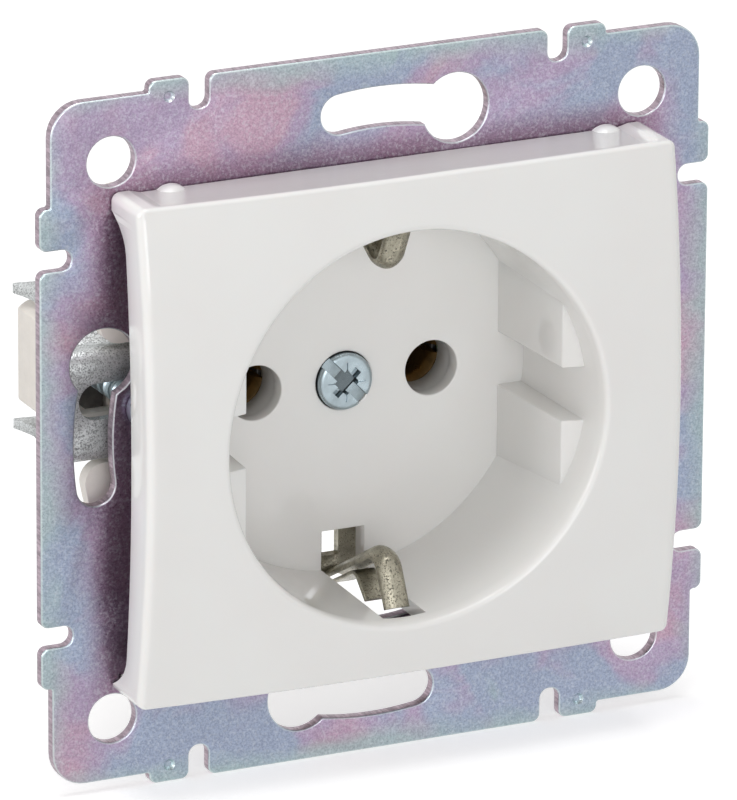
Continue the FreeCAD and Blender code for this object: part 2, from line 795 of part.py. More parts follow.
def base_outline():
    """Section of the housing: full width at the terminals, narrower below the contacts."""
    low = base_half_width - base_taper_inset
    side = [(low, -base_half_height, base_corner_radius),
            (low, base_waist - base_taper_height, base_corner_radius),
            (base_half_width, base_waist, base_corner_radius / 2),
            (base_half_width, base_half_height, base_corner_radius)]
    return side + [(-u, v, radius) for u, v, radius in reversed(side)]


def retainer_outline(gap):
    """Outline of the retainer, grown all round by a gap."""
    half = pocket_half_width + retainer_side_overlap + gap
    low = -sleeve_pocket_half - retainer_drop - gap
    high = retainer_top + gap
    radius = retainer_corner_radius + gap
    return [(-half, low, radius), (half, low, radius), (half, high, radius), (-half, high, radius)]


def left_wing():
    """Block between the arms of the left claw, rounded like the wall box."""
    low = claw_offset - wing_half_height
    high = claw_offset + wing_half_height
    lead = wing_front + wing_lead_in_depth
    profile = [(wing_front, low + wing_lead_in, 0.0), (lead, low, 0.0),
               (wing_rear - wing_rear_slope, low, 0.0), (wing_rear, low + wing_rear_step, 0.0),
               (wing_rear, high, wing_chamfer), (lead, high, 0.0),
               (wing_front, high - wing_lead_in, 0.0)]
    wing = prism(profile, yz(-far), Vector(far - base_half_width + base_side_wall / 2, 0, 0))
    side = [(-wing_reach, low + wing_heel_height, wing_chamfer / 2),
            (-wing_reach + wing_heel_width, low, 0.0), (0, low, 0.0),
            (0, high + 1, 0.0), (-wing_reach + wing_top_round, high + 1, 0.0),
            (-wing_reach + wing_top_round, high, 0.0), (-wing_reach, high - wing_top_round, 0.0)]
    return wing.common(prism(side, xz(0), Vector(0, far, 0)))


def left_wing_cutters():
    """Cutters round the left claw: web notch, arm pockets, nut channel and screw hole."""
    inner_x = -tube_inner + collar_lip
    arm_edge = claw_arm_half_height + claw_notch_room
    arm_notch = box(-far, inner_x, ear_rear, wing_front, claw_offset - arm_edge,
                    claw_offset + arm_edge)
    channel = box(-claw_screw_x - claw_nut_half_width - slide_clearance,
                  -claw_screw_x + claw_nut_half_width + slide_clearance,
                  nut_channel_front, nut_channel_rear, claw_offset - far, claw_offset + far)
    inner_edge = wing_half_height - claw_pocket_inset
    pockets = []
    rise = claw_web_below - claw_web_above
    for low, high in ((-arm_edge, -inner_edge), (inner_edge - rise, arm_edge)):
        pockets.append(box(-far, inner_x, wing_front - 1, wing_front + claw_pocket_depth,
                           claw_offset + low, claw_offset + high))
    room = wing_half_height + claw_nut_channel_room
    keep = box(-far, 0, 0, far, claw_offset - room, claw_offset + room)
    screw = rod(claw_screw_radius + slide_clearance, 0, wing_rear + 1, -claw_screw_x, claw_offset)
    window = box(-wing_reach + wing_window_wall, inner_x, wing_front - 1, nut_channel_rear,
                 claw_offset - wing_window_half, claw_offset + wing_window_half)
    return [left_web_notch(), arm_notch, channel.common(keep), screw, window] + pockets


def rivet_holes():
    """Cutters of the four rivet holes in the ears."""
    holes = []
    for side_x in (-1, 1):
        for side_z in (-1, 1):
            holes.append(rod(rivet_radius + fit_clearance, -1, ear_rear + 1,
                             side_x * rivet_along, side_z * rivet_up))
    return holes


def base_pockets():
    """Cutters of the pockets for the contacts, terminals, strap and wires."""
    slack = loose_clearance
    floor = base_pocket_floor
    top = base_half_height - base_top_wall
    cutters = [prism(retainer_outline(retainer_gap), xz(base_seat - 1),
                     Vector(0, retainer_thickness + 1, 0))]
    strap_half = strap_half_width + slack
    cutters.append(box(-strap_half, strap_half, base_seat - 1, strap_rear,
                       -base_half_height - 1, base_half_height + 1))
    cutters.append(rod(bush_radius + slack, base_seat, strap_rear + bush_length + slack))
    cutters.append(rod(cover_screw_shank_radius + slack, base_seat,
                       well_floor_y + cover_screw_length + cover_screw_tip_room))
    half = terminal_half_width + slack
    for x in (-terminal_pitch, 0.0, terminal_pitch):
        cutters.append(box(x - half, x + half, base_seat, floor, terminal_bottom - 3 * slack, top))
        cutters.append(upright(terminal_head_radius + slack, top - 1, base_half_height + 1, x, clamp_y))
        cutters.append(rod(wire_hole_radius, floor - 1, base_rear + 1, x, wire_height))
    for side in (-1, 1):
        near = pin_half_pitch - sleeve_pocket_half
        x0, x1 = sorted((side * near, side * pocket_half_width))
        cutters.append(box(x0, x1, base_seat, floor, -sleeve_pocket_half, terminal_bottom))
    return cutters


def contact_retainer():
    """Insulating plate that closes the contact pockets behind the well."""
    plate = prism(retainer_outline(0.0), xz(base_seat), Vector(0, retainer_thickness, 0))
    for side in (-1, 1):
        plate = plate.cut(rod(pin_tube_radius + loose_clearance, -far, far, side * pin_half_pitch))
    return one_solid(plate.cut(rod(cover_screw_shank_radius + loose_clearance, -far, far)))


def terminal_box(x):
    """Screw clamp: a short square tube open along Y with a tapped roof."""
    outer = box(x - terminal_half_width, x + terminal_half_width, terminal_front, terminal_rear,
                terminal_bottom, terminal_top)
    inner = box(x - terminal_half_width + terminal_wall, x + terminal_half_width - terminal_wall,
                terminal_front - 1, terminal_rear + 1, terminal_bottom + terminal_wall,
                terminal_top - terminal_wall)
    clamp = outer.cut(inner)
    roof_hole = upright(terminal_screw_radius + fit_clearance, terminal_top - 2,
                        terminal_top + 1, x, clamp_y)
    return clamp.cut(roof_hole)


def earth_strap():
    """Earthing strip: tapped bush, terminal and a sprung contact at each end."""
    half = strap_half_width
    end = strap_slot_far
    corners = [(-half, -end, strap_end_round), (half, -end, strap_end_round),
               (half, end, strap_end_round), (-half, end, strap_end_round)]
    strap = prism(corners, xz(strap_front), Vector(0, strap_thickness, 0))
    strap = strap.fuse(rod(bush_radius, strap_rear, strap_rear + bush_length))
    arm = box(-terminal_half_width, terminal_half_width, strap_front, terminal_front + terminal_wall,
              terminal_bottom, terminal_bottom + terminal_wall)
    strap = strap.fuse(arm).fuse(terminal_box(0.0))
    window = box(-strap_slot_half_width, strap_slot_half_width, strap_front - 1, strap_rear + 1,
                 strap_slot_near, strap_slot_far + 1)
    strap = strap.cut(window).cut(mirrored(window, Vector(0, 0, 1)))
    tongue = earth_tongue()
    strap = strap.fuse(tongue).fuse(mirrored(tongue, Vector(0, 0, 1)))
    return one_solid(strap.cut(rod(cover_screw_shank_radius + fit_clearance, -far, far)))


def earth_tongue():
    """Sprung contact above the centre: leg, knee and return, with its leaf."""
    width = 2 * contact_half_width
    path = [(strap_front + strap_thickness / 2, strap_slot_far + strap_neck), contact_bend, contact_knee,
            contact_tip]
    tongue = strip(path, [contact_bend_radius, contact_knee_radius], contact_thickness,
                   yz(-contact_half_width), Vector(width, 0, 0))
    side = strap_half_width - strap_shoulder_inset
    shoulder = box(-side, side, strap_front, strap_rear, strap_slot_far - strap_neck,
                   strap_slot_far + strap_shoulder_length)
    shoulder = shoulder.cut(box(-strap_slot_half_width, strap_slot_half_width, 0, far,
                                0, strap_slot_far + strap_neck))
    leaf = strip([leaf_start, leaf_bend, leaf_tip], [leaf_bend_radius], leaf_thickness,
                 yz(-contact_half_width + leaf_inset), Vector(width - 2 * leaf_inset, 0, 0))
    return tongue.fuse(shoulder).fuse(leaf)


def live_contact(side):
    """Brass sleeve for a plug pin with its back plate and screw clamp."""
    x = side * pin_half_pitch
    tx = side * terminal_pitch
    sleeve = rod(sleeve_outer, sleeve_front, sleeve_rear, x)
    mouth = cone(sleeve_outer - sleeve_lip, sleeve_bore_radius, sleeve_front - 0.01,
                 sleeve_front + sleeve_mouth_depth, x)
    plate_rear = sleeve_rear + back_plate_thickness
    reach = tx + side * terminal_half_width
    x0, x1 = sorted((x - side * sleeve_outer, reach))
    back = box(x0, x1, sleeve_rear, plate_rear, -sleeve_outer, terminal_bottom - loose_clearance)
    x0, x1 = tx - terminal_half_width, tx + terminal_half_width
    back = back.fuse(box(x0, x1, sleeve_rear, plate_rear, -sleeve_outer,
                         terminal_bottom + terminal_wall))
    contact = sleeve.fuse(back).fuse(terminal_box(tx))
    contact = contact.cut(rod(sleeve_bore_radius, sleeve_front - 1, plate_rear + 1, x))
    contact = contact.cut(mouth)
    slit = box(x - sleeve_outer - 1, x + sleeve_outer + 1, sleeve_front - 1,
               sleeve_front + sleeve_slit_length, -sleeve_slit / 2, sleeve_slit / 2)
    return one_solid(contact.cut(slit))


def contact_spring(side):
    """Steel clip round the sleeve of a live contact."""
    x = side * pin_half_pitch
    inner = sleeve_outer + fit_clearance
    ring = rod(inner + clip_thickness, clip_front, clip_front + clip_length, x)
    ring = ring.cut(rod(inner, clip_front - 1, clip_front + clip_length + 1, x))
    gap = box(x - clip_opening / 2, x + clip_opening / 2, 0, far, -far, 0)
    return one_solid(ring.cut(gap))


def terminal_screw(x):
    """Screw that presses a clamp plate onto the wire from above."""
    under = terminal_top + terminal_head_gap
    head = upright(terminal_head_radius, under, under + terminal_head_height, x, clamp_y)
    rim = [e for e in head.Edges if e.BoundBox.ZMin > under + terminal_head_height - 1e-6]
    head = head.makeFillet(terminal_head_round, rim)
    screw = head.fuse(upright(terminal_screw_radius, clamp_plate_top, under, x, clamp_y))
    slot = box(x - screw_slot_width / 2, x + screw_slot_width / 2, clamp_y - far, clamp_y + far,
               under + terminal_head_height - screw_slot_depth, under + far)
    arm = screw_cross_reach
    cross = box(x - arm, x + arm, clamp_y - screw_slot_width / 2, clamp_y + screw_slot_width / 2,
                under + terminal_head_height - screw_slot_depth * 1.3, under + far)
    return one_solid(screw.cut(slot).cut(cross))


def clamp_plate(x):
    """Ribbed plate between a terminal screw and the wire."""
    half = terminal_half_width - terminal_wall - clamp_plate_clearance
    plate = box(x - half, x + half, terminal_front + clamp_plate_inset,
                terminal_rear - clamp_plate_inset, clamp_plate_under, clamp_plate_top)
    for step in (-1.5, -0.5, 0.5, 1.5):
        start = Vector(-far, clamp_y + step * clamp_rib_pitch, clamp_plate_under)
        plate = plate.cut(Part.makeCylinder(clamp_rib_radius, 2 * far, start, Vector(1, 0, 0)))
    return one_solid(plate)


def cam_point(turn_share):
    """Corner of the nut in the claw's own frame after a share of the travel."""
    angle = math.radians(claw_swing * turn_share)
    u = claw_pivot[0] - (claw_screw_x + claw_nut_half_width)
    v = claw_nut_front - claw_nut_travel * turn_share - claw_pivot[1]
    x = u * math.cos(angle) + v * math.sin(angle)
    y = -u * math.sin(angle) + v * math.cos(angle)
    return (-claw_pivot[0] + x - claw_cam_gap, claw_pivot[1] + y)


def left_claw():
    """Claw with its web behind the keyhole, two arms and outward teeth."""
    web = claw_web_front + claw_steel / 2
    low_web = -claw_web_below + claw_steel / 2
    high_web = claw_web_above - claw_steel / 2
    rear_half = claw_arm_half_height - claw_steel / 2
    joggle = [ear_rear + loose_clearance, wing_front + claw_joggle_step]
    path = [(claw_arm_rear + 1, -rear_half), (joggle[1], -rear_half), (joggle[0], low_web),
            (web, low_web), (web, high_web), (joggle[0], high_web),
            (joggle[1], rear_half), (claw_arm_rear + 1, rear_half)]
    path = [(u, v + claw_offset) for u, v in path]
    bend = claw_bend_radius - claw_steel / 2
    soft = claw_joggle_radius
    channel = strip(path, [soft, soft, bend, bend, soft, soft], claw_steel, yz(-far),
                    Vector(far, 0, 0))
    top = cam_point(0.0)
    middle = cam_point(0.5)
    low = cam_point(1.0)
    rear = claw_arm_rear
    outline = [(-claw_web_outer, claw_web_front - 1, 0.0), (-claw_web_inner, claw_web_front - 1, 0.0),
               (-claw_web_inner, claw_web_front + claw_web_flange, claw_steel / 2),
               (low[0], low[1] - claw_steel / 2, claw_steel / 2),
               (low[0], low[1], 0.0), (middle[0], middle[1], claw_shoulder_radius),
               (top[0], top[1], claw_steel),
               (top[0] - claw_tooth_width / 2, rear - claw_tooth_width, claw_tooth_width / 2),
               (-claw_tooth_tip, rear, claw_tooth_width / 4),
               (-claw_tooth_tip + claw_tooth_width, rear - claw_tooth_slope, claw_tooth_width),
               (top[0] - claw_tooth_neck, rear - claw_tooth_neck_depth, claw_tooth_width),
               (-claw_web_outer + claw_waist, claw_waist_depth, claw_shoulder_radius),
               (-claw_web_outer, claw_shoulder_depth, claw_steel)]
    claw = channel.common(prism(outline, xy(-far), Vector(0, 0, 2 * far)))
    hole_x = -claw_slot_end + claw_slot_half_width
    middle_z = claw_offset + claw_slot_rise
    slot = box(hole_x, 0, 0, claw_web_front + 2 * claw_steel, middle_z - claw_slot_half_width,
               middle_z + claw_slot_half_width)
    slot = slot.fuse(rod(claw_slot_half_width, 0, claw_web_front + 2 * claw_steel, hole_x,
                         middle_z))
    return one_solid(claw.cut(slot))


def left_claw_nut():
    """Sliding nut bar that wedges the left claw outwards."""
    low, high = claw_offset - claw_nut_half_length, claw_offset + claw_nut_half_length
    rear = claw_nut_front + claw_nut_thickness
    bar = prism([(low, claw_nut_front, claw_nut_round), (high, claw_nut_front, claw_nut_round),
                 (high, rear, claw_nut_round), (low, rear, claw_nut_round)],
                lambda u, v: Vector(-claw_screw_x - claw_nut_half_width, v, u),
                Vector(2 * claw_nut_half_width, 0, 0))
    return one_solid(bar.cut(rod(claw_screw_radius + fit_clearance, -far, far,
                                 -claw_screw_x, claw_offset)))


def left_claw_screw():
    """Screw that draws the left nut bar forward."""
    top = plate_front - claw_screw_head_height - fit_clearance
    return screw_along_y(-claw_screw_x, claw_offset, top, claw_screw_head_radius,
                         claw_screw_head_height, claw_screw_radius, claw_screw_tip)


def base_rivet(side_x, side_z):
    """Tubular rivet through the plate and an ear of the base."""
    x = side_x * rivet_along
    z = side_z * rivet_up
    rear = ear_rear
    rivet = rod(rivet_radius, plate_front, rear, x, z)
    head = rod(rivet_head_radius, plate_front - rivet_head_height, plate_front, x, z)
    rim = [e for e in head.Edges if e.BoundBox.YMax < plate_front - rivet_head_height + 1e-6]
    head = head.makeFillet(rivet_head_height * 0.7, rim)
    curl = rod(rivet_head_radius * 0.85, rear, rear + rivet_head_height, x, z)
    curl_rim = [e for e in curl.Edges if e.BoundBox.YMin > rear + rivet_head_height - 1e-6]
    curl = curl.makeFillet(rivet_head_height * 0.6, curl_rim)
    bore = rod(rivet_radius * 0.55, ear_front / 4, rear + rivet_head_height + 1, x, z)
    return one_solid(rivet.fuse(head).fuse(curl).cut(bore))


def build():
    """All the separate pieces by name."""
    parts = {"support_plate": support_plate(), "front_cover": front_cover(),
             "cover_screw": cover_screw(), "socket_base": socket_base(),
             "contact_retainer": contact_retainer(), "earth_strap": earth_strap()}
    sides = {"line": -1, "neutral": 1}
    for name, side in sides.items():
        parts[name + "_contact"] = live_contact(side)
        parts[name + "_contact_spring"] = contact_spring(side)
    places = {"line": -terminal_pitch, "earth": 0.0, "neutral": terminal_pitch}
    for name, x in places.items():
        parts[name + "_terminal_screw"] = terminal_screw(x)
        parts[name + "_clamp_plate"] = clamp_plate(x)
    for name, angle in {"left": 0, "right": 180}.items():
        parts[name + "_claw"] = turned(left_claw(), angle)
        parts[name + "_claw_nut"] = turned(left_claw_nut(), angle)
        parts[name + "_claw_screw"] = turned(left_claw_screw(), angle)
    for across, side_x in {"left": -1, "right": 1}.items():
        for up, side_z in {"lower": -1, "upper": 1}.items():
            parts["_".join((up, across, "rivet"))] = base_rivet(side_x, side_z)
    return parts


os.makedirs("parts", exist_ok=True)
for node, solid in build().items():
    solid.exportStep(os.path.join("parts", node + ".step"))
    print(node, "volume", round(solid.Volume, 1), "valid", solid.isValid())
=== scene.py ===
"""Type F wall socket: dresses the packed model with its visible pieces and finishes."""

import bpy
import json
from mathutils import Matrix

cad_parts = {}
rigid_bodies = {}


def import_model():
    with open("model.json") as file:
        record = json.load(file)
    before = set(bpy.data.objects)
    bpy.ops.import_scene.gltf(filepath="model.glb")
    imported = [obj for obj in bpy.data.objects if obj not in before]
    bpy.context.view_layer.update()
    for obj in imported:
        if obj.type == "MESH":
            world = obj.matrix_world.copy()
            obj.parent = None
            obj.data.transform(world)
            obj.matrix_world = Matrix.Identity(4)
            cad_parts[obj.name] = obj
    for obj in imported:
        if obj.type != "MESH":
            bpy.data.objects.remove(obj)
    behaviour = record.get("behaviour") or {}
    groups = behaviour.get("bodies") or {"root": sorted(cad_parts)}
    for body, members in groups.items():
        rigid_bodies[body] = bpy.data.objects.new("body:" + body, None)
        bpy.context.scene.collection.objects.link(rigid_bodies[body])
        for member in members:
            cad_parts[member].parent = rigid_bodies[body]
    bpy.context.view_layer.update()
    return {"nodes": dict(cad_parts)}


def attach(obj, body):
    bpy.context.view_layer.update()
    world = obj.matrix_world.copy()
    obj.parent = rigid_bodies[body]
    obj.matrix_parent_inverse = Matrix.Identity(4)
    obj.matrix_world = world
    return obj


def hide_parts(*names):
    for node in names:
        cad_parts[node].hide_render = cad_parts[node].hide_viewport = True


bl_info = {
    "name": "Type F wall socket",
    "version": (1, 0, 0),
    "blender": (4, 5, 0),
    "location": "View3D > Sidebar > Socket",
    "description": "Builds a flush-mounted wall socket round its packed model",
    "category": "Object",
}

import json
import math
import bmesh
import bpy
from mathutils import Matrix, Vector

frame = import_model()

MM = 0.001
ROOT = "socket"

# Places that several pieces share, in mm from the middle of the plate's rear face
PIN_REACH = 9.5
CLAW_SCREW_REACH, CLAW_SCREW_RISE = 24.7, 3.2
RIVET_REACH, RIVET_RISE = 24.0, 12.3
WALL_REAR = -1.4
FLOOR_LEVEL = -35.72


# Sizes and colours

def length(name, text, default, low=0.01, high=200.0):
    """A length property in millimetres."""
    return bpy.props.FloatProperty(name=name, description=text, default=default, min=low, max=high,
                                   precision=3)


def colour(name, text, default):
    """A colour property."""
    return bpy.props.FloatVectorProperty(name=name, description=text, subtype="COLOR", size=3,
                                         default=default, min=0.0, max=1.0)


def share(name, text, default):
    """A property from 0 to 1."""
    return bpy.props.FloatProperty(name=name, description=text, subtype="FACTOR", default=default,
                                   min=0.0, max=1.0)


class SocketPlateSettings(bpy.types.PropertyGroup):
    """Sizes and colours of the steel plate."""

    half: length("Half width", "Half the width over the edge tabs, in mm", 35.7)
    thickness: length("Thickness", "Steel thickness in mm", 1.2)
    corner_inset: length("Corner inset", "How far the corners stand back from the tabs, in mm", 1.15)
    corner_radius: length("Corner radius", "Radius of the plate's corners in mm", 3.4)
    notch_depth: length("Notch depth", "Depth of the notches beside the tabs, in mm", 3.3)
    opening: length("Opening", "Radius of the opening for the well in mm", 22.3)
    hole_place: length("Hole place", "How far across and up a corner hole lies, in mm", 28.25)
    hole_radius: length("Hole radius", "Radius of a corner hole in mm", 2.5)
    ring: length("Keyhole ring", "Radius of the circle that the keyholes lie on, in mm", 30.2)
    entry: length("Keyhole entry", "Radius of the round end of a keyhole in mm", 3.5)
    slot: length("Keyhole slot", "Half the width of the slot of a keyhole in mm", 2.0)
    dimple: length("Dimple", "Radius of a dimple at a tab in mm", 0.6)
    edge_round: length("Edge rounding", "Rounding of the front's stamped edges in mm", 0.18)
    burr_round: length("Burr rounding", "Rounding of the rear's stamped edges in mm", 0.08)
    grain: length("Grain size", "Size of the zinc's crystal grain in mm", 0.19)
    blue: colour("Blue", "Main tint of the passivated zinc", (0.365, 0.42, 0.55))
    lilac: colour("Lilac", "Pinkish patches", (0.455, 0.365, 0.51))
    rose: colour("Rose", "Pinkest patches", (0.55, 0.37, 0.47))
    green: colour("Green", "Greenish tint along the edges", (0.40, 0.51, 0.52))
    shear: colour("Shear", "Sheared side faces", (0.27, 0.215, 0.25))
    roughness: share("Roughness", "Roughness of the plating", 0.34)


class SocketCoverSettings(bpy.types.PropertyGroup):
    """Sizes and colours of the moulded cover."""

    half_width: length("Half width", "Half the cover's width in mm", 28.4)
    half_height: length("Half height", "Half the cover's height in mm", 25.3)
    corner_radius: length("Corner radius", "Radius of the cover's corners in mm", 0.9)
    crown: length("Crown", "Depth of the bulged face before the wall at its middle, in mm", 11.0)
    edge: length("Edge", "Depth of the face half way along its top edge, in mm", 8.9)
    side: length("Side", "Depth of the face half way up its left edge, in mm", 10.4)
    corner: length("Corner", "Depth of the face at its left corners, in mm", 7.7)
    lean: share("Lean", "How much of the left side's fall the right side has", 0.3)
    edge_round: length("Edge rounding", "Rounding of the face's top and bottom edge in mm", 0.4)
    side_round: length("Side rounding", "Rounding of the face's left and right edge in mm", 0.8)
    mouth_radius: length("Mouth radius", "Radius of the well at its mouth in mm", 19.95)
    floor_radius: length("Floor radius", "Radius of the well at its floor in mm", 19.55)
    floor_depth: length("Floor depth", "Depth of the well floor behind the wall in mm", 6.6)
    rim_round: length("Rim rounding", "Rounding of the well's mouth in mm", 0.6)
    wall: length("Wall", "Thickness of the skirt in mm", 1.6)
    face_wall: length("Face wall", "Thickness of the face and of the well's floor in mm", 2.0)
    well_wall: length("Well wall", "Thickness of the wall of the well in mm", 1.45)
    pin_radius: length("Pin hole", "Radius of a pin hole in mm", 2.8)
    window: length("Earth window", "Half the width of an earth window in mm", 2.3)
    channel: length("Guide channel", "Half the height of a guide channel in mm", 2.72)
    white: colour("White", "Colour of the moulding", (0.88, 0.872, 0.85))
    roughness: share("Roughness", "Roughness of the glossy surface", 0.10)


class SocketBaseSettings(bpy.types.PropertyGroup):
    """Finish of the insulating base and the hidden insulating plate."""

    edge_round: length("Edge rounding", "Rounding of the moulded edges in mm", 0.25)
    cream: colour("Cream", "Colour of the moulding", (0.85, 0.80, 0.74))
    roughness: share("Roughness", "Roughness of the matt surface", 0.5)


class SocketMetalSettings(bpy.types.PropertyGroup):
    """Finishes of the small metal pieces."""

    nickel: colour("Nickel", "Colour of the earth strip", (0.46, 0.43, 0.34))
    # the contact brass is kept dark as painted shade for the deep pin holes
    shaded_brass: colour("Brass", "Colour of the contact sleeves", (0.34, 0.22, 0.09))
    screw: colour("Screw zinc", "Colour of the bluish screws", (0.53, 0.63, 0.68))
    claw: colour("Claw zinc", "Colour of the grey claws", (0.68, 0.70, 0.70))
    # the nut steel is nearly black: partly the bars' own dark finish, partly painted shade for the
    # cavity behind the claw window
    nut: colour("Nut steel", "Colour of the dark nut bars", (0.12, 0.12, 0.12))
    spring: colour("Spring steel", "Colour of clips and clamp plates", (0.33, 0.33, 0.33))
    terminal: colour("Terminal zinc", "Colour of the terminal screws", (0.55, 0.53, 0.45))
    rivet: colour("Rivet zinc", "Colour of the rivets", (0.48, 0.50, 0.52))
    thread_pitch: length("Thread pitch", "Pitch of the claw screws in mm", 0.5)
    contact_width: length("Contact width", "Width of a sprung earth contact in mm", 2.7)
    contact_thickness: length("Contact thickness", "Thickness of the earth strip in mm", 0.5)


class SocketStageSettings(bpy.types.PropertyGroup):
    """Camera, floor and lights."""

    camera_yaw: bpy.props.FloatProperty(name="Yaw", description="Camera turn to the left",
                                        subtype="ANGLE", default=math.radians(-25.43))
    camera_pitch: bpy.props.FloatProperty(name="Pitch", description="Camera height angle",
                                          subtype="ANGLE", default=math.radians(18.80))
    camera_roll: bpy.props.FloatProperty(name="Roll", description="Camera roll",
                                         subtype="ANGLE", default=math.radians(0.37))
    lens: bpy.props.FloatProperty(name="Lens", description="Focal length in mm", default=450.0)
    distance: length("Distance", "From the camera to its target in mm", 970.7, high=5000.0)
    world_level: share("World level", "Brightness of the surroundings", 0.37)
    key_power: bpy.props.FloatProperty(name="Key", description="Power of the key light in W",
                                       default=3.7, min=0.0)
    top_power: bpy.props.FloatProperty(name="Top", description="Power of the top light in W",
                                       default=2.6, min=0.0)
    side_power: bpy.props.FloatProperty(name="Side", description="Power of the left light in W",
                                        default=1.8, min=0.0)


# Node trees of the finishes

def node(tree, kind, attributes=None, **values):
    """Add a node, set its attributes, and link or set its inputs by name."""
    made = tree.nodes.new(kind)
    for key, value in (attributes or {}).items():
        setattr(made, key, value)
    for key, value in values.items():
        place = int(key[1:]) if key[0] == "i" and key[1:].isdigit() else key.replace("_", " ")
        slot = made.inputs[place]
        if isinstance(value, bpy.types.NodeSocket):
            tree.links.new(value, slot)
        else:
            slot.default_value = value
    return made


def rgba(values):
    """Colour with full opacity."""
    return (values[0], values[1], values[2], 1.0)


def scaled(tint, factor):
    """Colour with full opacity, lighter or darker by one factor or by one for each channel."""
    factors = factor if isinstance(factor, tuple) else (factor,) * 3
    return rgba([min(1.0, value * part) for value, part in zip(tint, factors)])


class Finish:
    """A material whose patterns are measured in millimetres on the piece."""

    def __init__(self, name):
        self.material = bpy.data.materials.new(name)
        self.material.use_nodes = True
        self.tree = self.material.node_tree
        self.tree.nodes.clear()
        place = node(self.tree, "ShaderNodeTexCoord")
        measured = node(self.tree, "ShaderNodeMapping", Vector=place.outputs["Object"],
                        Scale=(1 / MM, 1 / MM, 1 / MM))
        self.position = measured.outputs["Vector"]
        axes = node(self.tree, "ShaderNodeSeparateXYZ", Vector=self.position)
        self.across, self.along, self.up = axes.outputs
        facing = node(self.tree, "ShaderNodeSeparateXYZ", Vector=place.outputs["Normal"])
        self.tilt = self.sums("ABSOLUTE", facing.outputs["Y"], 0.0)

    def stretched(self, scale, turn=(0.0, 0.0, 0.0)):
        """Coordinates stretched for grain that runs one way."""
        made = node(self.tree, "ShaderNodeMapping", Vector=self.position, Scale=scale, Rotation=turn)
        return made.outputs["Vector"]

    def noise(self, size, detail=3.0, rough=0.5, vector=None, distortion=0.0):
        """Noise whose features are about size millimetres across."""
        made = node(self.tree, "ShaderNodeTexNoise", Vector=vector or self.position,
                    Scale=1.0 / size, Detail=detail, Roughness=rough, Distortion=distortion)
        return made.outputs["Fac"]

    def ramp(self, value, low, high, to_low=0.0, to_high=1.0):
        """Map a range of a value to another range."""
        made = node(self.tree, "ShaderNodeMapRange", Value=value, From_Min=low, From_Max=high,
                    To_Min=to_low, To_Max=to_high)
        return made.outputs["Result"]

    def blend(self, factor, first, second, how="MIX"):
        """Mix two colours."""
        made = node(self.tree, "ShaderNodeMix", {"data_type": "RGBA", "blend_type": how},
                    i0=factor, i6=first, i7=second)
        return made.outputs[2]

    def bands(self, value, stops):
        """Colours along a value from (place, colour) stops."""
        made = node(self.tree, "ShaderNodeValToRGB", Fac=value)
        scale = made.color_ramp
        scale.interpolation = "EASE"
        scale.elements[0].position, scale.elements[0].color = stops[0][0], rgba(stops[0][1])
        scale.elements[1].position, scale.elements[1].color = stops[-1][0], rgba(stops[-1][1])
        for place, tint in stops[1:-1]:
            scale.elements.new(place).color = rgba(tint)
        return made.outputs["Color"]

    def sums(self, how, first, second):
        """Arithmetic on two values."""
        made = node(self.tree, "ShaderNodeMath", {"operation": how}, i0=first, i1=second)
        return made.outputs[0]

    def bump(self, height, distance, strength=1.0, normal=None):
        """Bump from a height in millimetres."""
        made = node(self.tree, "ShaderNodeBump", Height=height, Distance=distance * MM,
                    Strength=strength)
        if normal is not None:
            self.tree.links.new(normal, made.inputs["Normal"])
        return made.outputs["Normal"]

    def close(self, **values):
        """Join everything in one Principled shader."""
        shader = node(self.tree, "ShaderNodeBsdfPrincipled", **values)
        out = node(self.tree, "ShaderNodeOutputMaterial")
        self.tree.links.new(shader.outputs["BSDF"], out.inputs["Surface"])
        return self.material


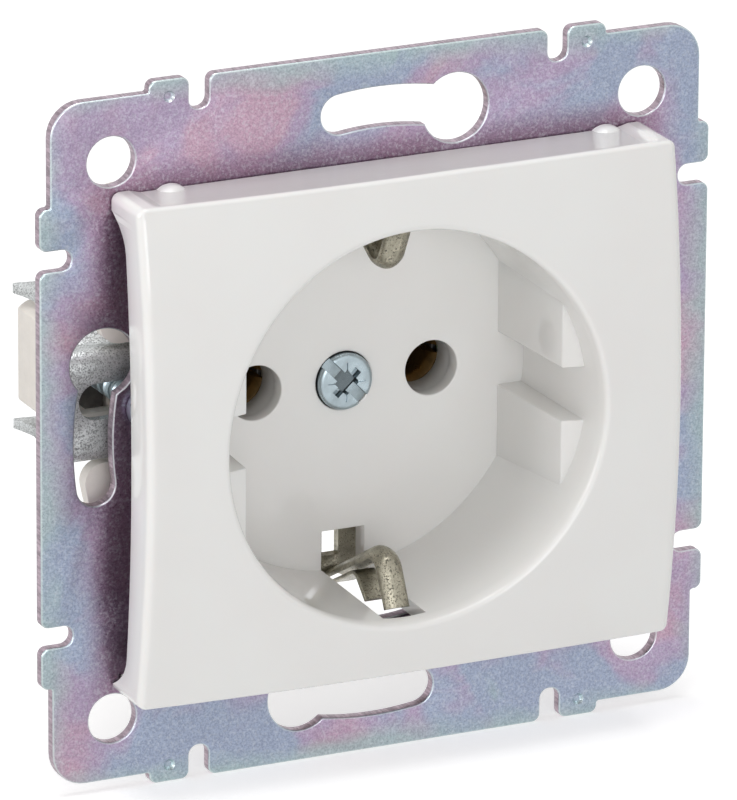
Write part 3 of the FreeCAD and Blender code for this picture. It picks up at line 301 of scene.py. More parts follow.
def passivated_zinc(settings, cover):
    """Blue-passivated zinc: blue, lilac and rose clouds, green at the rim, painted shade beside the
    cover.
    """
    f = Finish("passivated zinc")
    far_across, far_up = f.sums("ABSOLUTE", f.across, 0.0), f.sums("ABSOLUTE", f.up, 0.0)
    reach = f.sums("MAXIMUM", far_across, far_up)
    beside = f.sums("MAXIMUM", f.sums("SUBTRACT", far_across, cover.half_width),
                    f.sums("SUBTRACT", far_up, cover.half_height))
    clouds = f.noise(17.0, 2.0, 0.5, f.stretched((1.0, 1.0, 0.7)), 0.7)
    drift = f.noise(7.0, 3.0, 0.55, f.stretched((0.8, 1.0, 1.1), (0.3, 0.2, 0.7)), 0.6)
    film = f.sums("ADD", f.ramp(clouds, 0.3, 0.7, 0.0, 0.72), f.ramp(drift, 0.3, 0.7, 0.0, 0.28))
    tint = f.bands(film, [(0.0, settings.green), (0.16, settings.blue), (0.34, settings.blue),
                          (0.52, settings.lilac), (0.76, settings.rose), (1.0, settings.lilac)])
    wander = f.ramp(drift, 0.3, 0.7, -1.2, 1.2)
    # painted shade: the plate darkens towards the cover's outline, a painted contact shadow and
    # painted reflection of the dark gap under its skirt
    near = f.ramp(f.sums("ADD", beside, wander), 3.6, 0.6, 0.0, 0.75)
    tint = f.blend(near, tint, scaled(settings.lilac, (0.88, 0.74, 0.76)))
    # painted shadow: a deeper brownish band right against the cover's outline
    close = f.ramp(beside, 2.4, 0.0, 0.0, 0.55)
    tint = f.blend(close, tint, scaled(settings.lilac, (0.42, 0.28, 0.28)))
    rim = f.ramp(f.sums("ADD", reach, wander), settings.half - 2.7, settings.half - 0.1, 0.0, 0.85)
    tint = f.blend(rim, tint, rgba(settings.green))
    grain = f.noise(settings.grain, 2.0, 0.6)
    speck = f.noise(settings.grain * 1.4, 4.0, 0.6)
    tint = f.blend(f.ramp(grain, 0.38, 0.60, 0.30, 0.0), tint, (0.20, 0.18, 0.24, 1.0), "MULTIPLY")
    tint = f.blend(f.ramp(speck, 0.50, 0.68, 0.0, 0.30), tint, (0.72, 0.76, 0.80, 1.0))
    stria = f.noise(0.25, 2.0, 0.6, f.stretched((1.0, 0.12, 1.0)))
    side = f.blend(f.ramp(stria, 0.35, 0.7), rgba(settings.shear), scaled(settings.shear, 2.0))
    tint = f.blend(f.ramp(f.tilt, 0.12, 0.3, 1.0, 0.0), tint, side)
    # painted highlight: a pale green-white sheen on the rounded edges of the outline, the holes and
    # the dimples
    crest = f.sums("MULTIPLY", f.ramp(f.tilt, 0.25, 0.55), f.ramp(f.tilt, 0.90, 0.99, 1.0, 0.0))
    tint = f.blend(f.sums("MULTIPLY", crest, 0.5), tint, (0.70, 0.80, 0.77, 1.0))
    rough = f.ramp(speck, 0.3, 0.7, settings.roughness - 0.08, settings.roughness + 0.10)
    normal = f.bump(grain, 0.012, 0.8)
    normal = f.bump(f.noise(2.4, 3.0, 0.5), 0.02, 0.4, normal)
    return f.close(Base_Color=tint, Metallic=0.96, Roughness=rough, Normal=normal)


def glossy_moulding(settings):
    """Glossy white plastic with a faint flow and polish texture."""
    f = Finish("glossy white moulding")
    flow = f.noise(14.0, 2.0, 0.5)
    tint = f.blend(f.ramp(flow, 0.35, 0.65), rgba(settings.white),
                   scaled(settings.white, (0.985, 0.975, 0.975)))
    scuff = f.noise(0.9, 4.0, 0.7, f.stretched((0.25, 1.0, 1.0), (0.0, 0.5, 0.0)))
    rough = f.ramp(scuff, 0.35, 0.75, settings.roughness - 0.03, settings.roughness + 0.06)
    normal = f.bump(f.noise(5.0, 2.0, 0.4), 0.02, 0.25)
    return f.close(Base_Color=tint, Roughness=rough, IOR=1.52, Normal=normal,
                   Subsurface_Weight=0.06, Subsurface_Radius=(1.0, 0.7, 0.55),
                   Subsurface_Scale=0.0012)


def matt_moulding(settings):
    """Matt cream plastic with a moulded grain."""
    f = Finish("matt cream moulding")
    speckle = f.noise(1.4, 3.0, 0.6)
    tint = f.blend(f.ramp(speckle, 0.3, 0.7), rgba(settings.cream), scaled(settings.cream, 0.94))
    grain = f.noise(0.35, 2.0, 0.5)
    rough = f.ramp(grain, 0.3, 0.7, settings.roughness - 0.06, settings.roughness + 0.08)
    return f.close(Base_Color=tint, Roughness=rough, IOR=1.5, Normal=f.bump(grain, 0.02, 0.35),
                   Subsurface_Weight=0.05, Subsurface_Radius=(1.0, 0.7, 0.5),
                   Subsurface_Scale=0.001)


def bright_metal(name, tint, rough, grain=0.25, stretch=(1.0, 1.0, 1.0), dark=0.55, metallic=0.95,
                 pits=0.0, pit_size=0.42, pit_share=0.57, sunk=None):
    """Metal with drawn grain, tarnish patches, scratches, and pits and painted shade in a recess if
    asked.
    """
    f = Finish(name)
    patches = f.noise(1.6, 4.0, 0.6)
    fine = f.noise(grain, 3.0, 0.6, f.stretched(stretch))
    scratch = f.noise(0.12, 2.0, 0.5, f.stretched((0.08, 1.0, 1.0), (0.4, 0.9, 0.2)))
    base = f.blend(f.ramp(patches, 0.36, 0.70, 0.0, 0.8), rgba(tint), scaled(tint, dark))
    base = f.blend(f.ramp(fine, 0.55, 0.75, 0.0, 0.35), base, scaled(tint, 1.35))
    level = f.ramp(patches, 0.3, 0.7, rough - 0.07, rough + 0.12)
    normal = f.bump(fine, 0.012, 0.5)
    if pits > 0:
        hole = f.ramp(f.noise(pit_size, 4.0, 0.7), pit_share, pit_share + 0.09)
        base = f.blend(f.sums("MULTIPLY", hole, pits * 1.4), base, scaled(tint, 0.16))
        normal = f.bump(f.sums("SUBTRACT", 1.0, hole), 0.05, pits, normal)
    if sunk is not None:
        # painted shade: the walls and floor of a recess deeper than sunk are darkened
        walls = f.sums("MULTIPLY", f.ramp(f.along, sunk, sunk + 0.4),
                       f.ramp(f.tilt, 0.3, 0.9, 0.9, 0.3))
        deep = f.ramp(f.along, sunk + 0.62, sunk + 0.75, 0.0, 0.8)
        base = f.blend(f.sums("MAXIMUM", walls, deep), base, scaled(tint, 0.12))
    normal = f.bump(scratch, 0.006, 0.35, normal)
    return f.close(Base_Color=base, Metallic=metallic, Roughness=level, Normal=normal)


# Meshes in millimetres, placed in the part's own frame

def finished(mesh, name, body, material, replaced, angle=35.0):
    """Piece of a mesh: coated, smoothed and riding on a body in place of packed nodes."""
    mesh.name = name
    piece = loose(mesh, name)
    mesh.materials.clear()
    mesh.materials.append(material)
    smooth(mesh, angle)
    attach(piece, body)
    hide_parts(*replaced)


def smooth(mesh, angle):
    """Shade smooth and mark edges sharper than an angle."""
    work = bmesh.new()
    work.from_mesh(mesh)
    limit = math.radians(angle)
    for face in work.faces:
        face.smooth = True
    for edge in work.edges:
        edge.smooth = len(edge.link_faces) == 2 and edge.calc_face_angle(0.0) < limit
    work.to_mesh(mesh)
    work.free()


def mesh_of(vertices, faces, name="piece"):
    """Mesh from millimetre points."""
    mesh = bpy.data.meshes.new(name)
    mesh.from_pydata([Vector(v) * MM for v in vertices], [], faces)
    mesh.validate()
    return mesh


def recalculated(mesh, join=0.0005):
    """Merge doubled points and turn every face outwards."""
    work = bmesh.new()
    work.from_mesh(mesh)
    bmesh.ops.remove_doubles(work, verts=work.verts, dist=join * MM)
    bmesh.ops.recalc_face_normals(work, faces=work.faces)
    work.to_mesh(mesh)
    work.free()
    return mesh


def applied(piece):
    """Turn an object's modifiers into its mesh."""
    graph = bpy.context.evaluated_depsgraph_get()
    mesh = bpy.data.meshes.new_from_object(piece.evaluated_get(graph))
    piece.modifiers.clear()
    old = piece.data
    piece.data = mesh
    bpy.data.meshes.remove(old)
    return mesh


def loose(data, name):
    """Object of a mesh, a lamp or a camera, linked to the scene."""
    piece = bpy.data.objects.new(name, data)
    bpy.context.scene.collection.objects.link(piece)
    return piece


def carved(mesh, cutters):
    """Mesh after other meshes are cut out of it."""
    piece = loose(mesh, "carved")
    tools = []
    for cutter in cutters:
        tool = loose(cutter, "cutter")
        step = piece.modifiers.new("cut", "BOOLEAN")
        step.operation = "DIFFERENCE"
        step.solver = "EXACT"
        step.object = tool
        tools.append(tool)
    bpy.context.view_layer.update()
    result = applied(piece)
    for tool in tools:
        spare = tool.data
        bpy.data.objects.remove(tool)
        bpy.data.meshes.remove(spare)
    bpy.data.objects.remove(piece)
    return result


def bevelled(mesh, width, segments=2, angle=30.0):
    """Mesh with its sharp edges rounded."""
    piece = loose(mesh, "bevelled")
    step = piece.modifiers.new("round", "BEVEL")
    step.width = width * MM
    step.segments = segments
    step.limit_method = "ANGLE"
    step.angle_limit = math.radians(angle)
    step.miter_outer = "MITER_ARC"
    bpy.context.view_layer.update()
    result = applied(piece)
    bpy.data.objects.remove(piece)
    return result


def joined(meshes):
    """One mesh of several."""
    work = bmesh.new()
    for mesh in meshes:
        work.from_mesh(mesh)
    result = bpy.data.meshes.new("joined")
    work.to_mesh(result)
    work.free()
    return result


def box_mesh(x0, x1, y0, y1, z0, z1):
    """Block between two corners."""
    corners = [(x, y, z) for x in (x0, x1) for y in (y0, y1) for z in (z0, z1)]
    faces = [(0, 1, 3, 2), (4, 6, 7, 5), (0, 4, 5, 1), (2, 3, 7, 6), (0, 2, 6, 4), (1, 5, 7, 3)]
    return recalculated(mesh_of(corners, faces))


def band(first, second):
    """Faces between two closed rings of as many points."""
    count = len(first)
    return [(first[k], first[(k + 1) % count], second[(k + 1) % count], second[k])
            for k in range(count)]


def turned_profile(profile, centre=(0.0, 0.0), steps=96):
    """Surface of revolution about an axis along Y from (radius, y) points."""
    vertices, faces, rings = [], [], []
    for radius, y in profile:
        if radius < 1e-6:
            rings.append([len(vertices)])
            vertices.append((centre[0], y, centre[1]))
            continue
        ring = []
        for k in range(steps):
            a = 2 * math.pi * k / steps
            ring.append(len(vertices))
            vertices.append((centre[0] + radius * math.cos(a), y, centre[1] + radius * math.sin(a)))
        rings.append(ring)
    for first, second in zip(rings, rings[1:]):
        if len(first) == 1:
            faces += [(first[0], second[(k + 1) % steps], second[k]) for k in range(steps)]
        elif len(second) == 1:
            faces += [(first[k], first[(k + 1) % steps], second[0]) for k in range(steps)]
        else:
            faces += band(first, second)
    return recalculated(mesh_of(vertices, faces))


def direction(u, v):
    """Unit vector in a plane."""
    size = math.hypot(u, v) or 1.0
    return (u / size, v / size)


def rounded_loop(corners, steps=8):
    """Closed line through (u, v, radius) corners with rounded corners."""
    points = []
    for i, (u, v, radius) in enumerate(corners):
        before, after = corners[i - 1], corners[(i + 1) % len(corners)]
        a = direction(before[0] - u, before[1] - v)
        b = direction(after[0] - u, after[1] - v)
        half = math.acos(max(-1.0, min(1.0, a[0] * b[0] + a[1] * b[1]))) / 2
        if radius < 1e-6 or half > math.radians(89.0):
            points.append((u, v))
            continue
        reach = radius / math.tan(half)
        inward = direction(a[0] + b[0], a[1] + b[1])
        middle = radius / math.sin(half)
        cx, cy = u + inward[0] * middle, v + inward[1] * middle
        start = math.atan2(v + a[1] * reach - cy, u + a[0] * reach - cx)
        stop = math.atan2(v + b[1] * reach - cy, u + b[0] * reach - cx)
        sweep = (stop - start + math.pi) % (2 * math.pi) - math.pi
        for k in range(steps + 1):
            angle = start + sweep * k / steps
            points.append((cx + radius * math.cos(angle), cy + radius * math.sin(angle)))
    return points


def circle_loop(x, z, radius, steps=64):
    """Closed circle."""
    return [(x + radius * math.cos(2 * math.pi * k / steps),
             z + radius * math.sin(2 * math.pi * k / steps)) for k in range(steps)]


def turn_loop(points, angle):
    """Loop turned about the origin by degrees."""
    c, s = math.cos(math.radians(angle)), math.sin(math.radians(angle))
    return [(c * x - s * z, s * x + c * z) for x, z in points]


def signed_area(points):
    """Twice the signed area of a loop."""
    return sum(p[0] * q[1] - q[0] * p[1] for p, q in zip(points, points[1:] + points[:1]))


def stamping(outline, holes, y0, y1, round_front, round_rear, pits=(), steps=3):
    """Flat sheet from y0 to y1 with rounded outer and hole edges, and small pits in its front."""
    vertices, faces, fronts, rears = [], [], [], []
    for number, loop in enumerate([outline] + list(holes)):
        turning = 1 if number == 0 else -1
        if signed_area(loop) * turning < 0:
            loop = loop[::-1]
        count = len(loop)
        inwards = []
        for i, here in enumerate(loop):
            before, after = loop[i - 1], loop[(i + 1) % count]
            a = direction(here[0] - before[0], here[1] - before[1])
            b = direction(after[0] - here[0], after[1] - here[1])
            inwards.append(direction(-(a[1] + b[1]), a[0] + b[0]))
        rows = []
        for k in range(steps + 1):
            t = math.pi / 2 * k / steps
            rows.append((round_front * (1 - math.sin(t)), y0 + round_front * (1 - math.cos(t))))
        for k in range(steps + 1):
            t = math.pi / 2 * k / steps
            rows.append((round_rear * (1 - math.cos(t)), y1 - round_rear * (1 - math.sin(t))))
        rings = []
        for inset, y in rows:
            ring = []
            for (u, v), n in zip(loop, inwards):
                ring.append(len(vertices))
                vertices.append((u + n[0] * inset, y, v + n[1] * inset))
            rings.append(ring)
        for first, second in zip(rings, rings[1:]):
            faces += band(first, second)
        fronts.append(rings[0])
        rears.append(rings[-1])
    facets = 20
    for x, z, radius, depth in pits:
        mouth = range(len(vertices), len(vertices) + facets)
        vertices += [(u, y0, v) for u, v in circle_loop(x, z, radius, facets)]
        bottom = range(len(vertices), len(vertices) + facets)
        vertices += [(u, y0 + depth, v) for u, v in circle_loop(x, z, radius * 0.55, facets)]
        faces += [(mouth[i - 1], mouth[i], bottom[i], bottom[i - 1]) for i in range(facets)]
        faces.append(tuple(bottom))
        fronts.append(mouth)
    mesh = mesh_of(vertices, faces)
    work = bmesh.new()
    work.from_mesh(mesh)
    work.verts.ensure_lookup_table()
    for side in (fronts, rears):
        edges = []
        for ring in side:
            for i, vertex in enumerate(ring):
                pair = (work.verts[vertex], work.verts[ring[(i + 1) % len(ring)]])
                edge = work.edges.get(pair) or work.edges.new(pair)
                edges.append(edge)
        bmesh.ops.triangle_fill(work, edges=edges, use_beauty=True, use_dissolve=False,
                                normal=Vector((0, 1, 0)))
    bmesh.ops.remove_doubles(work, verts=work.verts, dist=0.0004 * MM)
    bmesh.ops.recalc_face_normals(work, faces=work.faces)
    work.to_mesh(mesh)
    work.free()
    return mesh


def rounded_path(points, radii, steps=14):
    """Open line through (y, z) points with rounded bends."""
    path = [points[0]]
    for i in range(1, len(points) - 1):
        corner = rounded_loop([(points[i - 1][0], points[i - 1][1], 0.0),
                               (points[i][0], points[i][1], radii[i - 1]),
                               (points[i + 1][0], points[i + 1][1], 0.0)], steps)
        path += corner[1:-1]
    path.append(points[-1])
    return path


def swept_strip(path, width, thickness, edge, crown=0.0):
    """Strip along a (y, z) path with rounded edges, arched across by crown half way along."""
    half_w, half_t = width / 2, thickness / 2
    flat = half_w - edge
    flat_steps, edge_steps = 12, 6
    loop = []
    for sign in (-1, 1):
        for k in range(flat_steps + 1):
            loop.append((-sign * flat * (2 * k / flat_steps - 1), sign * half_t))
        for k in range(1, edge_steps):
            a = math.pi * k / edge_steps
            loop.append((-sign * (flat + edge * math.sin(a)), sign * half_t * math.cos(a)))
    section = [(u, v, crown * (1 - (u / half_w) ** 2)) for u, v in loop]
    vertices, rings = [], []
    least_arch = 0.35
    travelled = [0.0]
    for p, q in zip(path, path[1:]):
        travelled.append(travelled[-1] + math.hypot(q[0] - p[0], q[1] - p[1]))
    for i, (y, z) in enumerate(path):
        before, after = path[max(i - 1, 0)], path[min(i + 1, len(path) - 1)]
        along = direction(after[0] - before[0], after[1] - before[1])
        across = (-along[1], along[0])
        halfway = math.sin(math.pi * travelled[i] / travelled[-1])
        arch = least_arch + (1 - least_arch) * halfway
        ring = []
        for u, v, rise in section:
            lift = v + rise * arch
            ring.append(len(vertices))
            vertices.append((u, y + across[0] * lift, z + across[1] * lift))
        rings.append(ring)
    faces = [tuple(rings[0][::-1]), tuple(rings[-1])]
    for first, second in zip(rings, rings[1:]):
        faces += band(first, second)
    return recalculated(mesh_of(vertices, faces))


def mirrored_mesh(mesh, axis):
    """Copy of a mesh mirrored in a plane through the origin, with its faces outwards again."""
    copy = mesh.copy()
    scale = [1.0, 1.0, 1.0]
    scale[axis] = -1.0
    copy.transform(Matrix.Diagonal((*scale, 1.0)))
    copy.flip_normals()
    return copy


def cad_copy(name):
    """Merged copy of a packed node with its flat faces rebuilt."""
    flat = math.radians(0.6)
    mesh = frame["nodes"][name].data.copy()
    work = bmesh.new()
    work.from_mesh(mesh)
    bmesh.ops.remove_doubles(work, verts=work.verts, dist=0.002 * MM)
    bmesh.ops.dissolve_limit(work, angle_limit=flat, verts=work.verts, edges=work.edges)
    work.to_mesh(mesh)
    work.free()
    mesh.materials.clear()
    return mesh


def rounded_copy(node_name, piece_name, body, material, width):
    """Finish a packed node's own mesh with its edges rounded."""
    mesh = bevelled(cad_copy(node_name), width, 2, 40.0)
    finished(mesh, piece_name, body, material, [node_name])


# Geometry node trees for what repeats

class Recipe:
    """A geometry node tree with named number inputs and a material, built step by step."""

    def __init__(self, name, **numbers):
        self.tree = bpy.data.node_groups.new(name, "GeometryNodeTree")
        face = self.tree.interface
        face.new_socket("Geometry", in_out="INPUT", socket_type="NodeSocketGeometry")
        self.ids = {}
        for label, value in numbers.items():
            made = face.new_socket(label, in_out="INPUT", socket_type="NodeSocketFloat")
            made.default_value = value
            self.ids[label] = made.identifier
        coat = face.new_socket("Material", in_out="INPUT", socket_type="NodeSocketMaterial")
        self.ids["Material"] = coat.identifier
        face.new_socket("Geometry", in_out="OUTPUT", socket_type="NodeSocketGeometry")
        self.entry = self.tree.nodes.new("NodeGroupInput")

    def given(self, label):
        """Output socket of a named input."""
        return self.entry.outputs[label]

    def step(self, kind, attributes=None, **values):
        """Add a node."""
        return node(self.tree, kind, attributes, **values)

    def maths(self, how, first, second):
        """Arithmetic on two values."""
        made = node(self.tree, "ShaderNodeMath", {"operation": how}, i0=first, i1=second)
        return made.outputs[0]

    def close(self, shape, turn):
        """Turn a shape about X, set it on every point, realize it, coat it and end the tree."""
        laid = self.step("GeometryNodeTransform", Geometry=shape,
                         Rotation=(math.radians(turn), 0.0, 0.0))
        placed = self.step("GeometryNodeInstanceOnPoints", Points=self.given("Geometry"),
                           Instance=laid.outputs[0])
        real = self.step("GeometryNodeRealizeInstances", i0=placed.outputs[0])
        shaded = self.step("GeometryNodeSetShadeSmooth", i0=real.outputs[0])
        coated = self.step("GeometryNodeSetMaterial", i0=shaded.outputs[0],
                           Material=self.given("Material"))
        out = self.tree.nodes.new("NodeGroupOutput")
        self.tree.links.new(coated.outputs[0], out.inputs[0])
        return self

    def made(self, places, material, **numbers):
        """Mesh of the tree's result on points at places, all in mm; Turns is a plain number."""
        seed = bpy.data.meshes.new("places")
        seed.from_pydata([Vector(p) * MM for p in places], [], [])
        piece = loose(seed, "recipe")
        step = piece.modifiers.new("recipe", "NODES")
        step.node_group = self.tree
        for label, value in numbers.items():
            step[self.ids[label]] = value if label == "Turns" else value * MM
        step[self.ids["Material"]] = material
        bpy.context.view_layer.update()
        mesh = applied(piece)
        bpy.data.objects.remove(piece)
        return mesh


def rivet_tree():
    """Rivet head: a flattened dome whose middle lies on the point."""
    r = Recipe("rivet heads", Radius=0.0022, Height=0.0007)
    dome = r.step("GeometryNodeMeshUVSphere", Segments=48, Rings=16, Radius=r.given("Radius"))
    flat = r.maths("DIVIDE", r.given("Height"), r.given("Radius"))
    scale = r.step("ShaderNodeCombineXYZ", X=1.0, Y=1.0, Z=flat)
    squashed = r.step("GeometryNodeTransform", Geometry=dome.outputs["Mesh"],
                      Scale=scale.outputs[0])
    return r.close(squashed.outputs[0], 90)


def thread_tree():
    """Screw thread: a helical ridge of a given pitch along Y from every point."""
    r = Recipe("screw thread", Radius=0.0014, Pitch=0.0005, Turns=20.0, Ridge=0.00022)
    rise = r.maths("MULTIPLY", r.given("Pitch"), r.given("Turns"))
    helix = r.step("GeometryNodeCurveSpiral", Resolution=28, Rotations=r.given("Turns"),
                   Start_Radius=r.given("Radius"), End_Radius=r.given("Radius"), Height=rise)
    ridge = r.step("GeometryNodeCurvePrimitiveCircle", Resolution=4, Radius=r.given("Ridge"))
    body = r.step("GeometryNodeCurveToMesh", Curve=helix.outputs[0],
                  Profile_Curve=ridge.outputs[0], Fill_Caps=True)
    return r.close(body.outputs[0], -90)


def rib_tree():
    """Short round rib with a domed nose, lying along Y on every point."""
    r = Recipe("clip ribs", Radius=0.0011, Length=0.0026)
    bar = r.step("GeometryNodeMeshCylinder", {"fill_type": "TRIANGLE_FAN"}, Vertices=40,
                 Radius=r.given("Radius"), Depth=r.given("Length"))
    nose = r.step("GeometryNodeMeshUVSphere", Segments=40, Rings=20, Radius=r.given("Radius"))
    away = r.maths("MULTIPLY", r.given("Length"), 0.5)
    shift = r.step("ShaderNodeCombineXYZ", X=0.0, Y=0.0, Z=away)
    end = r.step("GeometryNodeTransform", Geometry=nose.outputs["Mesh"],
                 Translation=shift.outputs[0], Scale=(1.0, 1.0, 0.75))
    both = r.step("GeometryNodeJoinGeometry")
    r.tree.links.new(bar.outputs["Mesh"], both.inputs[0])
    r.tree.links.new(end.outputs[0], both.inputs[0])
    return r.close(both.outputs[0], 90)


# Support plate

def keyhole_loop(settings, steps=40):
    """Outline of the keyhole above the centre: an arched slot with a round entry."""
    ring, entry, half = settings.ring, settings.entry, settings.slot
    start, finish = math.radians(74.4), math.radians(98.0)
    cx, cz = ring * math.cos(start), ring * math.sin(start)
    fx, fz = ring * math.cos(finish), ring * math.sin(finish)
    points = []

    def meets(radius):
        """Bearing at which an arc about the centre runs into the entry."""
        return start + math.acos((radius ** 2 + ring ** 2 - entry ** 2) / (2 * radius * ring))

    outer, inner = ring + half, ring - half
    a_out, a_in = meets(outer), meets(inner)
    for k in range(steps + 1):
        a = a_out + (finish - a_out) * k / steps
        points.append((outer * math.cos(a), outer * math.sin(a)))
    for k in range(1, 20):
        a = finish + math.pi * k / 20
        points.append((fx + half * math.cos(a), fz + half * math.sin(a)))
    for k in range(steps + 1):
        a = finish + (a_in - finish) * k / steps
        points.append((inner * math.cos(a), inner * math.sin(a)))
    p_in = math.atan2(inner * math.sin(a_in) - cz, inner * math.cos(a_in) - cx)
    p_out = math.atan2(outer * math.sin(a_out) - cz, outer * math.cos(a_out) - cx)
    while p_out < p_in:
        p_out += 2 * math.pi
    for k in range(1, 48):
        a = p_in + (p_out - p_in) * k / 48
        points.append((cx + entry * math.cos(a), cz + entry * math.sin(a)))
    return points


def plate_outline(settings):
    """Edge of the plate with its tabs and notches."""
    half, corner = settings.half, settings.half - settings.corner_inset
    notch = half - settings.notch_depth
    tab_far, tab_near, notch_near = 24.3, 20.1, 18.0
    right = [(tab_far, corner, 0.25), (tab_far, half, 0.8), (tab_near, half, 0.8),
             (tab_near, notch, 1.0), (notch_near, notch, 1.0), (notch_near, half, 0.8)]
    side = [(-corner, corner, settings.corner_radius)]
    side += [(-u, v, r) for u, v, r in right] + right[::-1]
    outline = []
    for quarter in range(4):
        c, s = ((1, 0), (0, -1), (-1, 0), (0, 1))[quarter]
        outline += [(c * u - s * v, s * u + c * v, r) for u, v, r in side]
    return rounded_loop(outline, 8)


class SOCKET_OT_plate(bpy.types.Operator):
    """Stamp the support plate with its holes"""

    bl_idname = "socket.plate"
    bl_label = "Support plate"

    def execute(self, context):
        settings = context.scene.socket_plate
        corner_hole = circle_loop(settings.hole_place, settings.hole_place, settings.hole_radius)
        holes = [circle_loop(0.0, 0.0, settings.opening, 160)]
        for quarter in range(4):
            holes.append(turn_loop(keyhole_loop(settings), -90 * quarter))
            holes.append(turn_loop(corner_hole, 90 * quarter))
        for side in (-1, 1):
            holes.append(circle_loop(side * CLAW_SCREW_REACH, -side * CLAW_SCREW_RISE, 1.8, 40))
        dimple_across, dimple_up, dimple_depth = 22.2, 34.0, 0.35
        pits = [(sx * dimple_across, sz * dimple_up, settings.dimple, dimple_depth)
                for sx in (-1, 1) for sz in (-1, 1)]
        mesh = stamping(plate_outline(settings), holes, -settings.thickness, 0.0,
                        settings.edge_round, settings.burr_round, pits)
        finish = passivated_zinc(settings, context.scene.socket_cover)
        finished(mesh, "plate_stamping", ROOT, finish, ["support_plate"], 50.0)
        return {"FINISHED"}


# Front cover

def face_depth(settings, x, z):
    """Y of the face, which bulges both ways, at a place."""
    over, up = (x / settings.half_width) ** 2, (z / settings.half_height) ** 2
    if x > 0:
        over *= settings.lean
    rise, fall = settings.crown - settings.edge, settings.crown - settings.side
    last = settings.crown - settings.corner - rise - fall
    return -settings.crown + rise * up + fall * over + last * over * up


def skirt_edge(z):
    """Y of the open rear edge of the side walls at a height: an arc that sweeps into the ears."""
    deepest, chord, rise = -5.95, 21.4, 1.35
    ear_start, ear_height, ear_curve = 19.4, 4.2, 2.9
    lower_drop = 0.9
    up = abs(z) - (lower_drop if z < 0 else 0.0)
    radius = (chord ** 2 + rise ** 2) / (2 * rise)
    arc = deepest + radius - math.sqrt(radius ** 2 - up ** 2)
    part = max(0.0, min(1.0, (up - ear_start) / ear_height))
    return arc + (WALL_REAR - arc) * part ** ear_curve


def edge_line(settings):
    """Columns round the cover: (point, outward direction) anticlockwise from the right."""
    w, h, r = settings.half_width, settings.half_height, settings.corner_radius
    corner_steps, side_steps = 12, 132
    # closer columns where the ears sweep up and where the shallow flats end
    denser = (22.3, 22.6, 22.9, 23.2, 23.4, 23.6, 23.8, 24.1, 25.4, 25.7, 26.0, 26.6)
    columns = []

    def arc(cx, cz, start):
        for k in range(1, corner_steps):
            a = math.radians(start + 90.0 * k / corner_steps)
            columns.append(((cx + r * math.cos(a), cz + r * math.sin(a)),
                            (math.cos(a), math.sin(a))))

    def run(first, last, fixed, vertical, normal):
        low, high = min(first, last), max(first, last)
        marks = {round(low + (high - low) * k / side_steps, 4) for k in range(side_steps + 1)}
        marks |= {sign * mark for mark in denser for sign in (-1, 1) if low < sign * mark < high}
        for mark in sorted(marks, reverse=first > last):
            columns.append(((fixed, mark) if vertical else (mark, fixed), normal))

    run(-(h - r), h - r, w, True, (1.0, 0.0))
    arc(w - r, h - r, 0)
    run(w - r, -(w - r), h, False, (0.0, 1.0))
    arc(-(w - r), h - r, 90)
    run(h - r, -(h - r), -w, True, (-1.0, 0.0))
    arc(-(w - r), -(h - r), 180)
    run(-(w - r), w - r, -h, False, (0.0, -1.0))
    arc(w - r, -(h - r), 270)
    return columns


def recess_share(x):
    """How deep the shallow flat of the top and bottom walls is at an x, from 0 to 1."""
    end, slope = 26.6, 1.2
    return max(0.0, min(1.0, (end - abs(x)) / slope))


